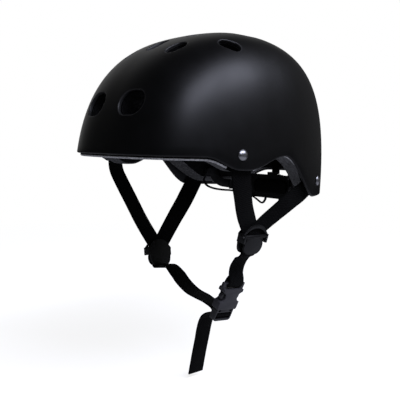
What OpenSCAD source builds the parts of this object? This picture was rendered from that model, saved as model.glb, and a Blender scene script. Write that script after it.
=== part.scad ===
// Skate-style bicycle helmet with side strap dividers, side-release buckle and rear fit dial.
// Millimetres. Front is -Y, the wearer's left is +X, up is +Z.
// The origin is the middle of the head opening, at the level of the brow edge.

/* [Shell size] */
// Width of the shell over the ears
shell_width = 212; // [196:1:226]
// Length of the front half, from the origin to the brow
front_length = 137.5; // [130:0.5:148]
// Length of the rear half, from the origin to the back
rear_length = 128.5; // [122:0.5:138]
// Height of the crown above the brow level
crown_height = 119.5; // [110:0.5:130]
// Depth of the dome's base below the brow level
base_depth = 42; // [41:0.5:48]
// Wall thickness of the moulded shell
shell_wall = 3; // [2.4:0.1:3.4]

/* [Dome shape] */
// Squareness of the plan in front, where 2 is an ellipse
front_squareness = 2.75; // [2:0.05:3.2]
// Squareness of the plan behind, where 2 is an ellipse
rear_squareness = 1.95; // [1.9:0.05:2.4]
// Inward lean of the wall over the ears, in degrees
side_lean = 1; // [0:0.1:3]
// Inward lean of the wall at the back, in degrees; the back bulges outward
rear_lean = -6; // [-7:0.5:0]
// Height up to which the front wall keeps its lean, as a share of the dome
front_shoulder = 0.495; // [0.45:0.005:0.6]
// Height up to which the side wall keeps its lean, as a share of the dome
side_shoulder = 0.94; // [0.85:0.01:1]
// Height up to which the rear wall keeps its lean, as a share of the dome
rear_shoulder = 0.625; // [0.55:0.005:0.7]
// How far the flat of the crown reaches forward, as a share of the plan
front_reach = 0.81; // [0.7:0.01:0.85]
// How far the flat of the crown reaches sideways, as a share of the plan
side_reach = 0.62; // [0.6:0.01:0.75]
// How far the flat of the crown reaches back, as a share of the plan
rear_reach = 0.95; // [0.85:0.01:1]
// Distance of the highest point behind the origin
crown_shift = 7.5; // [0:0.5:12]

/* [Rim outline] */
// Level of the brow edge
brow_level = -2; // [-4:0.5:2]
// Where the straight brow edge ends, ahead of the origin
brow_end = 90; // [86:1:98]
// Where the temple lobe begins, ahead of the origin
lobe_front = 56; // [52:1:60]
// Where the temple lobe ends, ahead of the origin
lobe_rear = 48; // [44:1:50]
// Level of the temple lobe's lowest edge
lobe_level = -13; // [-16:0.5:-8]
// Where the ear arch is highest, behind the origin
arch_centre = -2; // [-6:0.5:2]
// Level of the ear arch's highest edge
arch_level = -0.5; // [-3:0.5:3]
// Where the nape edge begins, behind the origin
nape_front = 51; // [48:1:56]
// Level of the nape edge
nape_level = -40; // [-41:0.5:-36]
// Rise of the rear edge above the fit dial
rear_rise = 20; // [14:0.5:22]
// Half width of the level part of the raised rear edge
rear_rise_flat = 28; // [20:1:34]
// Half width of the whole raised rear edge
rear_rise_width = 70; // [64:1:76]

/* [Foam liner] */
// Gap between the shell and the foam
liner_gap = 0.6; // [0.5:0.1:0.8]
// Thickness of the foam
liner_thickness = 21; // [18:0.5:24]
// How far the foam shows below the brow edge
brow_overhang = 3; // [1.5:0.5:5]
// How far the foam shows below the temple lobe
lobe_overhang = 1.5; // [0:0.5:3]
// How far the foam's edge stands above the shell's edge at the nape
nape_recess = 2; // [1:0.5:4]
// Where the foam's outer nape edge begins, behind the origin
liner_nape_front = 62; // [58:1:66]
// Where the foam's inner nape edge begins, behind the origin
liner_inner_nape_front = 86; // [80:1:92]

/* [Vents] */
// Length of a brow vent
brow_vent_length = 31; // [26:0.5:34]
// Height of a brow vent
brow_vent_height = 24; // [18:0.5:26]
// Length of a crown vent
crown_vent_length = 21; // [17:0.5:24]
// Width of a crown vent
crown_vent_width = 14; // [10:0.5:16]
// How much narrower a vent is in the foam than in the shell
vent_step = 2; // [0:0.5:4]

/* [Webbing and rivets] */
// Width of the strap webbing
webbing_width = 20; // [18:0.5:21]
// Thickness of the strap webbing
webbing_thickness = 1.6; // [1.2:0.1:1.8]
// Diameter of a rivet's domed head
rivet_head = 10; // [8:0.5:12]
// Height of a rivet's domed head
rivet_dome = 2.4; // [1.6:0.2:3]
// Diameter of a rivet's shank
rivet_shank = 4.4; // [3:0.2:5]
// Thickness of the washer behind a strap
washer_thickness = 1; // [0.8:0.1:1.4]
// Diameter of the washer behind a strap
washer_diameter = 12; // [10:0.5:14]

/* [Strap dividers] */
// Distance of each divider inside the shell's widest line
divider_inset = 34.2; // [31:0.2:37]
// Level of the left divider
left_divider_level = -78.8; // [-84:0.1:-74]
// Level of the right divider, which hangs lower
right_divider_level = -115.2; // [-119:0.1:-111]
// Half width of a divider
divider_half_width = 17.6; // [17:0.1:19]
// Thickness of a divider's back plate
divider_plate = 1.6; // [1.2:0.1:2]
// Radius of the rounded ends of the divider's lever
lever_radius = 8.6; // [7.6:0.1:8.8]
// Thickness of the lever
lever_thickness = 2; // [1.6:0.1:2.4]
// Radius of the lever's hinge barrel
barrel_radius = 1.7; // [1.6:0.1:1.9]
// Radius of the lever's hinge pin
hinge_pin_radius = 0.8; // [0.7:0.05:0.9]

/* [Buckle] */
// Length of the buckle's socket
socket_length = 29.5; // [28.5:0.5:32]
// Width of the buckle's socket
socket_width = 27; // [26.5:0.5:30]
// Thickness of the buckle's socket
socket_thickness = 9; // [8.5:0.1:10]
// Wall thickness of the socket
socket_wall = 2; // [1.8:0.1:2.2]
// Length of the plug's base below the socket
plug_length = 13; // [12.5:0.5:15]
// Width of the plug's base
plug_width = 23.6; // [23:0.2:26]
// Thickness of the plug's base
plug_thickness = 7.2; // [6.6:0.1:8]
// Length of a release prong, from its root to its tip
prong_length = 21; // [19:0.5:22]
// Width of a release prong
prong_width = 3.4; // [2.8:0.1:3.6]

/* [Fit dial] */
// Distance of the cradle's head side from the back of the shell
cradle_inset = 33.5; // [32.5:0.5:35.5]
// Level of the dial's axis
dial_level = -38; // [-38.5:0.5:-37.5]
// Half width of the dial housing
housing_half_width = 36; // [35:0.5:38]
// Height of the dial housing
housing_height = 27; // [26:0.5:28]
// Radius of the dial knob
knob_radius = 14; // [12:0.5:15]
// Depth of the dial knob
knob_depth = 9; // [7:0.5:11]
// Number of teeth on the dial's pinion
pinion_teeth = 12; // [12:1:14]
// Pitch radius of the dial's pinion
pinion_radius = 5; // [4.8:0.1:5.2]
// Width of the fit band
band_width = 10; // [8:0.5:11]
// Thickness of the fit band
band_thickness = 1.4; // [1.2:0.1:1.6]

/* [Pads] */
// Thickness of the brow and rear pads
pad_thickness = 7; // [5:0.5:9]
// Thickness of the side pads
side_pad_thickness = 6; // [4:0.5:8]
// Thickness of the crown pad
crown_pad_thickness = 8; // [6:0.5:10]
// Reach of the crown pad from its middle
crown_pad_reach = 38; // [30:1:46]
// Height of the brow pad
brow_pad_height = 26; // [20:1:32]
// Diameter of a round hook fastener behind a pad
hook_diameter = 11; // [9:1:12]

/* [Hidden] */

dome_height = crown_height + base_depth;
shell_columns = 84;
shell_rows = 13;
liner_columns = 56;
liner_rows = 12;
liner_outer = shell_wall + liner_gap;
liner_inner = liner_outer + liner_thickness;
row_crowding = 1.3; // rows draw together towards the crown, where the dome bends most
cut_margin = 1; // how far a cut runs past the face that it opens
rest_gap = 0.3; // gap between soft or curved faces that lie against each other
running_gap = 0.05; // radial clearance of a pin or shaft in its bore
sliding_gap = 0.25; // clearance each side of a piece that slides in a housing
hole_gap = 0.15; // radial clearance of a fixed fastener in its hole
smoothing = 3; // steps between two chosen points of a strap

function mix(a, b, w) = a + (b - a) * w;
function unit(v) = v / norm(v);
function ease(w) = (1 - cos(180 * min(max(w, 0), 1))) / 2;
function mirrored(p) = [-p.x, p.y, p.z];
function inside(depth, y, z) = [shell_width / 2 - depth, y, z]; // from the shell's widest line
function turned_y(p, a) = [p.x * cos(a) + p.z * sin(a), p.y, p.z * cos(a) - p.x * sin(a)];
function turned_x(p, a) = [p.x, p.y * cos(a) - p.z * sin(a), p.y * sin(a) + p.z * cos(a)];
function turned_z(p, a) = [p.x * cos(a) - p.y * sin(a), p.x * sin(a) + p.y * cos(a), p.z];

// Plan of the dome: a superellipse in front and another behind, by bearing from +X
function squareness(a) = sin(a) < 0 ? front_squareness : rear_squareness;
function half_length(a) = sin(a) < 0 ? front_length : rear_length;
function plan_point(a) = let (
        n = squareness(a),
        r = pow(pow(abs(cos(a)) * 2 / shell_width, n) + pow(abs(sin(a)) / half_length(a), n), -1 / n)
    ) [r * cos(a), r * sin(a)];
function endness(a) = pow(abs(plan_point(a).y) / half_length(a), squareness(a));
function around(side, front, rear, a) = mix(side, sin(a) < 0 ? front : rear, endness(a));

// A point on the dome at a bearing and a share t of the way from the base to the crown
function dome_point(a, t) = let (
        p = plan_point(a),
        knee = around(side_shoulder, front_shoulder, rear_shoulder, a) * dome_height,
        leaned = 1 - knee * tan(around(side_lean, 0, rear_lean, a)) / norm(p),
        reach = around(side_reach, front_reach, rear_reach, a),
        s = 1 - t,
        k = s * s * s + 3 * s * s * t * leaned + 3 * s * t * t * reach
    ) [p.x * k, p.y * k + crown_shift * (1 - k),
       3 * s * s * t * knee + (3 * s * t * t + t * t * t) * dome_height - base_depth];
function dome_normal(a, t) = unit(cross(
        dome_point(a + 0.5, t) - dome_point(a - 0.5, t),
        dome_point(a, min(t + 0.01, 1)) - dome_point(a, max(t - 0.01, 0))));
function inset_point(a, t, inset) = t > 0.999
    ? [0, crown_shift, crown_height - inset]
    : dome_point(a, t) - inset * dome_normal(a, t);
// The share of the height at which a surface inset from the dome reaches a level
function share_at(a, z, inset = 0, low = 0, high = 0.9, steps = 13) = let (mid = (low + high) / 2)
    steps == 0 ? mid
    : inset_point(a, mid, inset).z < z ? share_at(a, z, inset, mid, high, steps - 1)
    : share_at(a, z, inset, low, mid, steps - 1);

// The rim rises and falls in eased steps: brow, temple lobe, ear arch, nape and rear rise
function eased_step(y, y0, y1, z0, z1) = mix(z0, z1, ease((y - y0) / (y1 - y0)));
function edge_level(p, brow, lobe, nape, nape_start, flat) =
    (p.y < -lobe_front ? eased_step(p.y, -brow_end, -lobe_front, brow, lobe)
    : p.y < arch_centre ? eased_step(p.y, -lobe_rear, arch_centre, lobe, arch_level)
    : eased_step(p.y, arch_centre, nape_start, arch_level, nape))
    + (p.y > 0 ? rear_rise * (1 - ease((abs(p.x) - flat) / (rear_rise_width - flat))) : 0);
function shell_edge(a) =
    edge_level(plan_point(a), brow_level, lobe_level, nape_level, nape_front, rear_rise_flat);
function liner_edge(a, nape_start, flat) = edge_level(plan_point(a), brow_level - brow_overhang,
    lobe_level - lobe_overhang, nape_level + nape_recess, nape_start, flat);
// The foam's inner edge stays higher at the nape, above the wings of the cradle
inner_nape_level = nape_level + 9.5;
inner_rise_flat = rear_rise_flat + 14;
function liner_inner_edge(a) =
    max(liner_edge(a, liner_inner_nape_front, inner_rise_flat), inner_nape_level);

// Vents on the left and the middle: bearing, share of the height, length, width and turn
brow_vent = [-77, 0.37, brow_vent_length, brow_vent_height, 0];
rear_vent = [63.3, 0.4, brow_vent_length - 4, brow_vent_height - 3, 0];
upper_front_vent = [-66, 0.645, crown_vent_length, crown_vent_width, 55];
upper_side_vent = [-33, 0.55, crown_vent_length, crown_vent_width, -29];
inner_front_vent = [-64.8, 0.818, crown_vent_length, crown_vent_width, 70];
inner_side_vent = [-4, 0.735, crown_vent_length + 4, crown_vent_width, 0];
middle_vent = [-90, 0.72, crown_vent_length + 4, crown_vent_width, 90];
paired_vents = [brow_vent, rear_vent, upper_front_vent, upper_side_vent, inner_front_vent,
    inner_side_vent];

// Rivets on the left: bearing and share of the height
front_rivet = [-28.4, 0.107];
rear_rivet = [33.6, 0.043];
rivet_lift = 0.25; // the flat underside of a rivet's head clears the curved shell
strap_depth = shell_wall + 1.6 + webbing_thickness / 2; // from the shell's outside to the webbing
washer_depth = strap_depth + webbing_thickness / 2 + rivet_lift + 0.15;
pocket_depth = washer_depth + washer_thickness + rest_gap;

module on_dome(place) {
    n = dome_normal(place[0], place[1]);
    translate(dome_point(place[0], place[1]))
        rotate([0, acos(n.z), atan2(n.y, n.x)]) rotate([0, 0, 90]) children();
}
// A point near a place on the dome: along, up and under the surface there
function near_dome(place, along, up, depth) = let (
        n = dome_normal(place[0], place[1]),
        x = unit(cross([0, 0, 1], n))
    ) dome_point(place[0], place[1]) + along * x + up * cross(n, x) - depth * n;
function tangent_at(place) = unit(cross([0, 0, 1], dome_normal(place[0], place[1])));

module both_sides() {
    children();
    mirror([1, 0, 0]) children();
}

// Closed skin between two insets of the dome, from its rim to the crown
module dome_wall(outer, inner, outer_edges, inner_edges, columns, rows) {
    turns = [for (j = [0 : columns - 1]) 360 * j / columns];
    starts = [for (skin = [[outer, outer_edges], [inner, inner_edges]])
        [for (j = [0 : columns - 1]) share_at(turns[j], skin[1][j], skin[0])]];
    grid = [for (skin = [0, 1], i = [0 : rows - 1], j = [0 : columns - 1])
        inset_point(turns[j], mix(starts[skin][j], 1, 1 - pow(1 - i / rows, row_crowding)),
            skin == 0 ? outer : inner)];
    ring = rows * columns;
    poles = [inset_point(0, 1, outer), inset_point(0, 1, inner)];
    faces = [for (side = [0, 1], i = [0 : rows - 2], j = [0 : columns - 1], half = [0, 1]) let (
            a = side * ring + i * columns + j,
            b = side * ring + i * columns + (j + 1) % columns,
            tri = half == 0 ? [a, a + columns, b] : [b, a + columns, b + columns]
        ) side == 0 ? tri : [tri[2], tri[1], tri[0]]];
    caps = [for (side = [0, 1], j = [0 : columns - 1]) let (
            a = side * ring + (rows - 1) * columns + j,
            b = side * ring + (rows - 1) * columns + (j + 1) % columns,
            top = 2 * ring + side
        ) side == 0 ? [a, top, b] : [b, top, a]];
    rim = [for (j = [0 : columns - 1], half = [0, 1]) let (b = (j + 1) % columns)
        half == 0 ? [j, b, ring + j] : [b, ring + b, ring + j]];
    polyhedron(concat(grid, poles), concat(faces, caps, rim), convexity = 8);
}
module vent_cutter(vent, narrower) {
    width = vent[3] - narrower;
    reach = (vent[2] - narrower - width) / 2;
    on_dome(vent) rotate([0, 0, vent[4]]) hull()
        for (side = [-1, 1]) translate([side * reach, 0, -liner_inner - 8])
            cylinder(h = liner_inner + 14, d = width, $fn = 24);
}
module vent_cutters(narrower) {
    both_sides() for (vent = paired_vents) vent_cutter(vent, narrower);
    vent_cutter(middle_vent, narrower);
}

module outer_shell() {
    edges = [for (j = [0 : shell_columns - 1]) shell_edge(360 * j / shell_columns)];
    color("#202124") difference() {
        dome_wall(0, shell_wall, edges, edges, shell_columns, shell_rows);
        vent_cutters(0);
        both_sides() for (place = [front_rivet, rear_rivet]) on_dome(place)
            translate([0, 0, -shell_wall - cut_margin])
                cylinder(h = shell_wall + 2 * cut_margin, r = rivet_shank / 2 + hole_gap, $fn = 24);
    }
}

// The foam, with a pocket behind each rivet in which the strap lies
pocket_half_width = webbing_width / 2 + 4;
arm_peg_radius = 3;
arm_peg_level = -9;
arm_peg_length = 8;
foam_back = inset_point(90, share_at(90, arm_peg_level, liner_inner), liner_inner).y;
anchor_peg_radius = 1.8;
module strap_pocket(place, forward, rearward) {
    on_dome(place) translate([-forward, -60, -pocket_depth - 1.4])
        cube([forward + rearward, 60 + pocket_half_width, pocket_depth + 1.4 + cut_margin]);
}
module foam_liner() {
    turns = [for (j = [0 : liner_columns - 1]) 360 * j / liner_columns];
    color("#3a3b3d") difference() {
        dome_wall(liner_outer, liner_inner,
            [for (a = turns) liner_edge(a, liner_nape_front, rear_rise_flat)],
            [for (a = turns) liner_inner_edge(a)], liner_columns, liner_rows);
        vent_cutters(vent_step);
        both_sides() strap_pocket(front_rivet, pocket_half_width, pocket_half_width);
        both_sides() strap_pocket(rear_rivet, 40, pocket_half_width + 4);
        translate([0, foam_back - 4, arm_peg_level]) rotate([-90, 0, 0])
            cylinder(h = arm_peg_length + 6, r = arm_peg_radius + hole_gap, $fn = 24);
        both_sides() on_dome(anchor_place) translate([0, 0, -liner_inner - 2])
            cylinder(h = 12, r = anchor_peg_radius + hole_gap, $fn = 24);
    }
}

// Rivets hold the strap ends through the shell, with a washer inside
rivet_end = 0.8; // peened end beyond the washer
module rivet() {
    ball = (pow(rivet_head / 2, 2) + pow(rivet_dome, 2)) / (2 * rivet_dome);
    rotate_extrude($fn = 48) intersection() {
        translate([0, rivet_dome - ball]) circle(r = ball, $fn = 64);
        square([rivet_head / 2, rivet_dome]);
    }
    translate([0, 0, -washer_depth - washer_thickness - rivet_end])
        cylinder(h = washer_depth + washer_thickness + rivet_end, d = rivet_shank, $fn = 32);
    translate([0, 0, -washer_depth - washer_thickness - rivet_end])
        cylinder(h = rivet_end - 0.05, d1 = rivet_shank + 1, d2 = rivet_shank + 1.6, $fn = 32);
}
module strap_rivets() {
    color("#c9ccd0") both_sides() for (place = [front_rivet, rear_rivet])
        on_dome(place) translate([0, 0, rivet_lift]) rivet();
}
module rivet_washers() {
    color("#8d9094") both_sides() for (place = [front_rivet, rear_rivet]) on_dome(place)
        translate([0, 0, rivet_lift - washer_depth - washer_thickness]) difference() {
            cylinder(h = washer_thickness, d = washer_diameter, $fn = 40);
            translate([0, 0, -cut_margin]) cylinder(h = washer_thickness + 2 * cut_margin,
                r = rivet_shank / 2 + hole_gap, $fn = 32);
        }
}

// Webbing: a flat section swept along chosen points, smoothed between them
function bend(b, c, tb, tc, t) = (2 * t * t * t - 3 * t * t + 1) * b + (3 * t * t - 2 * t * t * t) * c
    + norm(c - b) * ((t * t * t - 2 * t * t + t) * tb + (t * t * t - t * t) * tc);
function smoothed(p) = let (last = len(p) - 1) concat(
    [for (i = [0 : last - 1], k = [0 : smoothing - 1]) bend(p[i], p[i + 1],
        unit(p[i + 1] - p[max(i - 1, 0)]), unit(p[min(i + 2, last)] - p[i]), k / smoothing)],
    [p[last]]);
function side_at(sides, w) = let (
        k = w * (len(sides) - 1),
        i = min(floor(k), len(sides) - 2)
    ) mix(sides[i], sides[i + 1], k - i);
module flat_strap(points, sides, width, thickness) {
    path = smoothed(points);
    last = len(path) - 1;
    section = [[-width / 2, -thickness / 2], [width / 2, -thickness / 2],
        [width / 2, thickness / 2], [-width / 2, thickness / 2]];
    corners = len(section);
    rings = [for (i = [0 : last]) let (
            forward = unit(path[min(i + 1, last)] - path[max(i - 1, 0)]),
            wish = side_at(sides, i / last),
            side = unit(wish - (wish * forward) * forward),
            face = cross(forward, side)
        ) for (s = section) path[i] + s.x * side + s.y * face];
    walls = [for (i = [0 : last - 1], k = [0 : corners - 1], half = [0, 1]) let (
            a = i * corners + k,
            b = i * corners + (k + 1) % corners
        ) half == 0 ? [a, a + corners, b] : [b, a + corners, b + corners]];
    ends = [for (k = [1 : corners - 2], end = [0, 1]) let (first = end * last * corners)
        end == 0 ? [first, first + k, first + k + 1] : [first, first + k + 1, first + k]];
    polyhedron(rings, concat(walls, ends), convexity = 4);
}

// Frames of the two dividers and the buckle: outward is +X in each, up is +Z
left_divider = inside(divider_inset, -11.4, left_divider_level);
right_divider = inside(divider_inset, -9.8, right_divider_level);
left_lean = 13;
right_lean = 15;
left_roll = -3;
right_roll = -8;
left_turn = 3;
right_turn = -9;
function left_turned(p) = turned_z(turned_y(turned_x(p, left_roll), left_lean), left_turn);
function right_turned(p) = mirrored(turned_z(turned_y(turned_x(p, right_roll), right_lean), right_turn));
function at_left_divider(p) = left_divider + left_turned(p);
function at_right_divider(p) = mirrored(right_divider) + right_turned(p);
module left_divider_frame() {
    translate(left_divider) rotate([0, left_lean, left_turn]) rotate([left_roll, 0, 0]) children();
}
module right_divider_frame() {
    mirror([1, 0, 0]) translate(right_divider) rotate([0, right_lean, right_turn])
        rotate([right_roll, 0, 0]) children();
}
buckle_top = inside(55.6, -10, -126.2);
buckle_lean = 20.5;
buckle_roll = -7;
function at_buckle(p) = buckle_top + turned_y(turned_x(p, buckle_roll), buckle_lean);
module buckle_frame() {
    translate(buckle_top) rotate([0, buckle_lean, 0]) rotate([buckle_roll, 0, 0]) children();
}

// Layers of webbing over a divider's back plate, from the plate outwards
strap_seat = 0.2;
first_layer = strap_seat + webbing_thickness / 2;
second_layer = first_layer + webbing_thickness + 2 * strap_seat;
chin_layer = first_layer + 0.3;
chin_start = -4.4;
join_level = -3; // where the side straps end and the chin strap begins, in a divider's frame

front_strap_start = [near_dome(front_rivet, 0, 9, strap_depth), near_dome(front_rivet, 0, 0, strap_depth)];
rear_strap_start = [near_dome(rear_rivet, 7, 4, strap_depth), near_dome(rear_rivet, 0, 0, strap_depth)];
left_across = left_turned([0, 1, 0]);
right_across = right_turned([0, 1, 0]);
buckle_across = turned_y(turned_x([0, 1, 0], buckle_roll), buckle_lean);
// Each side strap's way into a divider: side shift and level at the mouth, in the neck and at its end
strap_mouth = [7.8, 12.6];
strap_neck = [1.6, 4];
strap_stop = [1.6, join_level];
mouth_side = [0, 0.76, 0.65];
module rivet_hole(place) {
    on_dome(place) translate([0, 0, -2 * strap_depth])
        cylinder(h = 2 * strap_depth, r = rivet_shank / 2 + hole_gap, $fn = 24);
}
// One wish for the width's direction at each chosen point: held at the rivet, turned on the way down
function side_wishes(start, mouth, end, between) = concat([start, start, start],
    [for (k = [1 : between]) mix(start, mouth, k / (between + 1))], [mouth, end, end]);
module webbing(points, sides) {
    flat_strap(points, sides, webbing_width, webbing_thickness);
}
module front_strap_left() {
    color("#1b1b1c") difference() {
        webbing(concat(front_strap_start, [near_dome(front_rivet, 2, -12, strap_depth)],
            [inside(10.8, -49.6, -21), inside(14.9, -43.6, -31.5), inside(21.4, -33.3, -50)],
            [for (p = [strap_mouth, strap_neck, strap_stop])
                at_left_divider([first_layer + 0.1, -p.x, p.y])]),
            side_wishes(tangent_at(front_rivet), left_turned(mouth_side), left_across, 3));
        rivet_hole(front_rivet);
    }
}
module front_strap_right() {
    color("#1b1b1c") difference() {
        webbing(concat([for (p = front_strap_start) mirrored(p)],
            [mirrored(near_dome(front_rivet, -1, -12, strap_depth))],
            [for (p = [inside(10.4, -53.6, -22), inside(13.2, -49.6, -33), inside(18.5, -39.6, -55),
                inside(24.1, -28.6, -79)]) mirrored(p)],
            [for (p = [strap_mouth, strap_neck, strap_stop]) at_right_divider([first_layer, -p.x, p.y])]),
            side_wishes(mirrored(tangent_at(front_rivet)), right_turned(mouth_side), right_across, 4));
        mirror([1, 0, 0]) rivet_hole(front_rivet);
    }
}
module rear_strap_left() {
    color("#1b1b1c") difference() {
        webbing(concat(rear_strap_start, [near_dome(rear_rivet, -12.5, -3.6, strap_depth)],
            [inside(12.4, 34.6, -35.4), inside(13.8, 26.4, -40.4), inside(16.6, 17.8, -47),
                inside(21.6, 9.6, -55)],
            [for (p = [strap_mouth, strap_neck, strap_stop]) at_left_divider([second_layer, p.x, p.y])]),
            side_wishes(near_dome(rear_rivet, 0.28, -0.96, 0) - near_dome(rear_rivet, 0, 0, 0),
                left_turned([0, mouth_side.y, -mouth_side.z]), left_across, 4));
        rivet_hole(rear_rivet);
    }
}
module rear_strap_right() {
    color("#1b1b1c") difference() {
        webbing(concat([mirrored(near_dome(rear_rivet, 3, 7, strap_depth)), mirrored(rear_strap_start[1])],
            [mirrored(near_dome(rear_rivet, -5, -12, strap_depth))],
            [for (p = [inside(16.2, 46.6, -50), inside(19.6, 35.6, -62), inside(24, 19, -79)])
                mirrored(p)],
            [for (p = [strap_mouth, strap_neck, strap_stop]) at_right_divider([second_layer, p.x, p.y])]),
            side_wishes(mirrored(tangent_at(rear_rivet)),
                right_turned([0, mouth_side.y, -mouth_side.z]), right_across, 3));
        mirror([1, 0, 0]) rivet_hole(rear_rivet);
    }
}

// Divider: a fan-shaped back plate with side walls, an arched bridge and a hinged cam lever
divider_wall = 2.4;
wall_inner = divider_half_width - 0.4 - divider_wall;
wall_low = -3;
wall_high = 5.6;
arch_radius = 24;
arch_top = 15;
arch_band = 3.4;
bridge_inner = second_layer + webbing_thickness / 2 + 0.4;
bridge_thickness = 1.4;
hinge_out = second_layer + webbing_thickness / 2 + barrel_radius + rest_gap;
hinge_up = 3.4;
wall_out = hinge_out + barrel_radius;
module fan_outline() {
    hull() {
        for (side = [-1, 1]) {
            translate([side * (divider_half_width - 1.5), 5]) circle(r = 1.5, $fn = 24);
            translate([side * 6.5, -6.2]) circle(r = 9, $fn = 48);
        }
        for (a = [-25 : 10 : 25])
            translate([(arch_radius - 1) * sin(a), arch_top - arch_radius + (arch_radius - 1) * cos(a)])
                circle(r = 1, $fn = 16);
    }
}
module facing_out(depth) {
    rotate([90, 0, 90]) linear_extrude(depth) children();
}
module across(reach, radius) {
    translate([hinge_out, -reach, hinge_up]) rotate([-90, 0, 0])
        cylinder(h = 2 * reach, r = radius, $fn = 32);
}
module divider_base() {
    difference() {
        union() {
            translate([-divider_plate, 0, 0]) facing_out(divider_plate) fan_outline();
            for (side = [-1, 1])
                translate([-divider_plate, side > 0 ? wall_inner : -wall_inner - divider_wall, wall_low])
                    cube([wall_out + divider_plate, divider_wall, wall_high - wall_low]);
            translate([bridge_inner, 0, 0]) facing_out(bridge_thickness) difference() {
                fan_outline();
                translate([0, arch_top - arch_radius]) circle(r = arch_radius - arch_band, $fn = 96);
            }
        }
        across(wall_inner + divider_wall + cut_margin, hinge_pin_radius + running_gap / 2);
    }
}
// The lever is a rounded plate over the webbing, hung from a barrel on the pin
lever_inner = second_layer + webbing_thickness / 2 + rest_gap;
lever_spread = 4.6;
module divider_lever() {
    difference() {
        union() {
            across(wall_inner - rest_gap, barrel_radius);
            translate([lever_inner, 0, 0]) facing_out(lever_thickness) {
                hull() for (side = [-1, 1]) translate([side * lever_spread, -6.2])
                    circle(r = lever_radius, $fn = 64);
                translate([-12, -2]) square([24, hinge_up + 2.6]);
            }
        }
        across(wall_inner + cut_margin, hinge_pin_radius + running_gap);
    }
}
module divider_pin() {
    across(wall_inner + divider_wall, hinge_pin_radius);
}
module divider_base_left() {
    color("#232425") left_divider_frame() divider_base();
}
module divider_base_right() {
    color("#232425") right_divider_frame() divider_base();
}
module divider_lever_left() {
    color("#2e2f31") left_divider_frame() divider_lever();
}
module divider_lever_right() {
    color("#2e2f31") right_divider_frame() divider_lever();
}
module divider_pin_left() {
    color("#77797c") left_divider_frame() divider_pin();
}
module divider_pin_right() {
    color("#77797c") right_divider_frame() divider_pin();
}

// Chin straps run in the plane across the head, with their width fore and aft
along = [0, 1, 0];
bar_depth = 3.2; // thickness of the socket's strap bar
bar_height = 2.6;
slot_height = webbing_thickness + 1.6;
wrap = bar_depth / 2 + webbing_thickness / 2 + 0.5;
slot_middle = -bar_height - slot_height / 2;
module chin_strap_left() {
    color("#1b1b1c") webbing([at_left_divider([chin_layer, 0, chin_start]),
        at_left_divider([chin_layer, 0, -16]), inside(46, -10, -100.6), inside(51.6, -10, -108.6),
        inside(53.4, -10, -116.4), at_buckle([1.6, 0, 4]), at_buckle([wrap, 0, 0.6]),
        at_buckle([wrap - 0.2, 0, slot_middle + 1.4]),
        at_buckle([0.9, 0, slot_middle]), at_buckle([-0.9, 0, slot_middle]),
        at_buckle([-wrap + 0.2, 0, slot_middle + 1.4]), at_buckle([-wrap, 0, 0.6]),
        at_buckle([-1.6, 0, 6])],
        concat([for (k = [0 : 2]) left_across], [for (k = [3 : 12]) buckle_across]));
}
plug_top = -socket_length - 0.5;
window_top = plug_top - 3.3;
window_bottom = plug_top - plug_length + 2.2;
window_middle = (window_top + window_bottom) / 2;
ladder_bar = 2;
upper_slot = (window_top + window_middle + ladder_bar / 2) / 2;
lower_slot = (window_bottom + window_middle - ladder_bar / 2) / 2;
plug_back = -plug_thickness / 2;
module chin_strap_right() {
    color("#1b1b1c") webbing([at_right_divider([chin_layer, 0, chin_start]),
        at_right_divider([chin_layer + 0.4, 0, -16.6]), mirrored(inside(52, -10, -126.6)),
        mirrored(inside(67.4, -10, -133.6)), mirrored(inside(79, -10.6, -141)),
        [-10, -11.6, -147.6], inside(99.4, -12.6, -149.8), inside(86, -13.6, -152),
        at_buckle([plug_back - 5, 0, upper_slot + 1]), at_buckle([plug_back - 1, 0, upper_slot])],
        concat([for (k = [0 : 2]) right_across], [for (k = [3 : 6]) along],
            [for (k = [7 : 9]) buckle_across]));
}
module strap_tail() {
    color("#1b1b1c") webbing([at_buckle([plug_back - 0.6, 0, upper_slot]), at_buckle([-0.8, 0, upper_slot]),
        at_buckle([1.9, 0, upper_slot - 0.9]), at_buckle([2.6, 0, window_middle]),
        at_buckle([1.9, 0, lower_slot + 0.9]), at_buckle([-0.8, 0, lower_slot + 0.1]),
        at_buckle([plug_back - 2, 0, lower_slot + 0.6]), inside(85, -14, -164), inside(91.6, -13, -171),
        inside(97, -11.4, -182), inside(100.8, -10, -193), inside(105.4, -10, -212.4),
        inside(110.4, -10, -236)],
        concat([for (k = [0 : 6]) buckle_across], [for (k = [7 : 12]) along]));
}

// Side-release buckle: the socket holds the left strap, the plug the other
socket_inner = socket_width / 2 - socket_wall - 0.6;
socket_hollow = socket_thickness / 2 - socket_wall;
hollow_top = -8.5;
ear_level = -15.2;
ear_cut = 5.6;
root_level = plug_top - 0.7;
prong_middle = 7.9;
root_radius = prong_width / 2;
guide_half_width = 2.4;
module rounded_slab(width, low, high, thickness, radius) {
    translate([-thickness / 2, 0, 0]) facing_out(thickness) hull() {
        for (side = [-1, 1], level = [low + radius, high - radius])
            translate([side * (width / 2 - radius), level]) circle(r = radius, $fn = 32);
    }
}
module buckle_socket() {
    color("#3a3b3e") buckle_frame() difference() {
        union() {
            rounded_slab(socket_width + 3, -7.5, 0, bar_depth, 1.2);
            rounded_slab(socket_width, -socket_length, -slot_height - bar_height, socket_thickness, 1.6);
        }
        translate([-socket_thickness, -webbing_width / 2 - 0.6, -bar_height - slot_height])
            cube([2 * socket_thickness, webbing_width + 1.2, slot_height]);
        translate([-socket_hollow, -socket_inner, -socket_length - cut_margin])
            cube([2 * socket_hollow, 2 * socket_inner, socket_length + cut_margin + hollow_top]);
        for (side = [-1, 1]) translate([-socket_thickness, side * (socket_width / 2 + 0.7), ear_level])
            rotate([0, 90, 0]) cylinder(h = 2 * socket_thickness, r = ear_cut, $fn = 48);
    }
}
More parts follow.
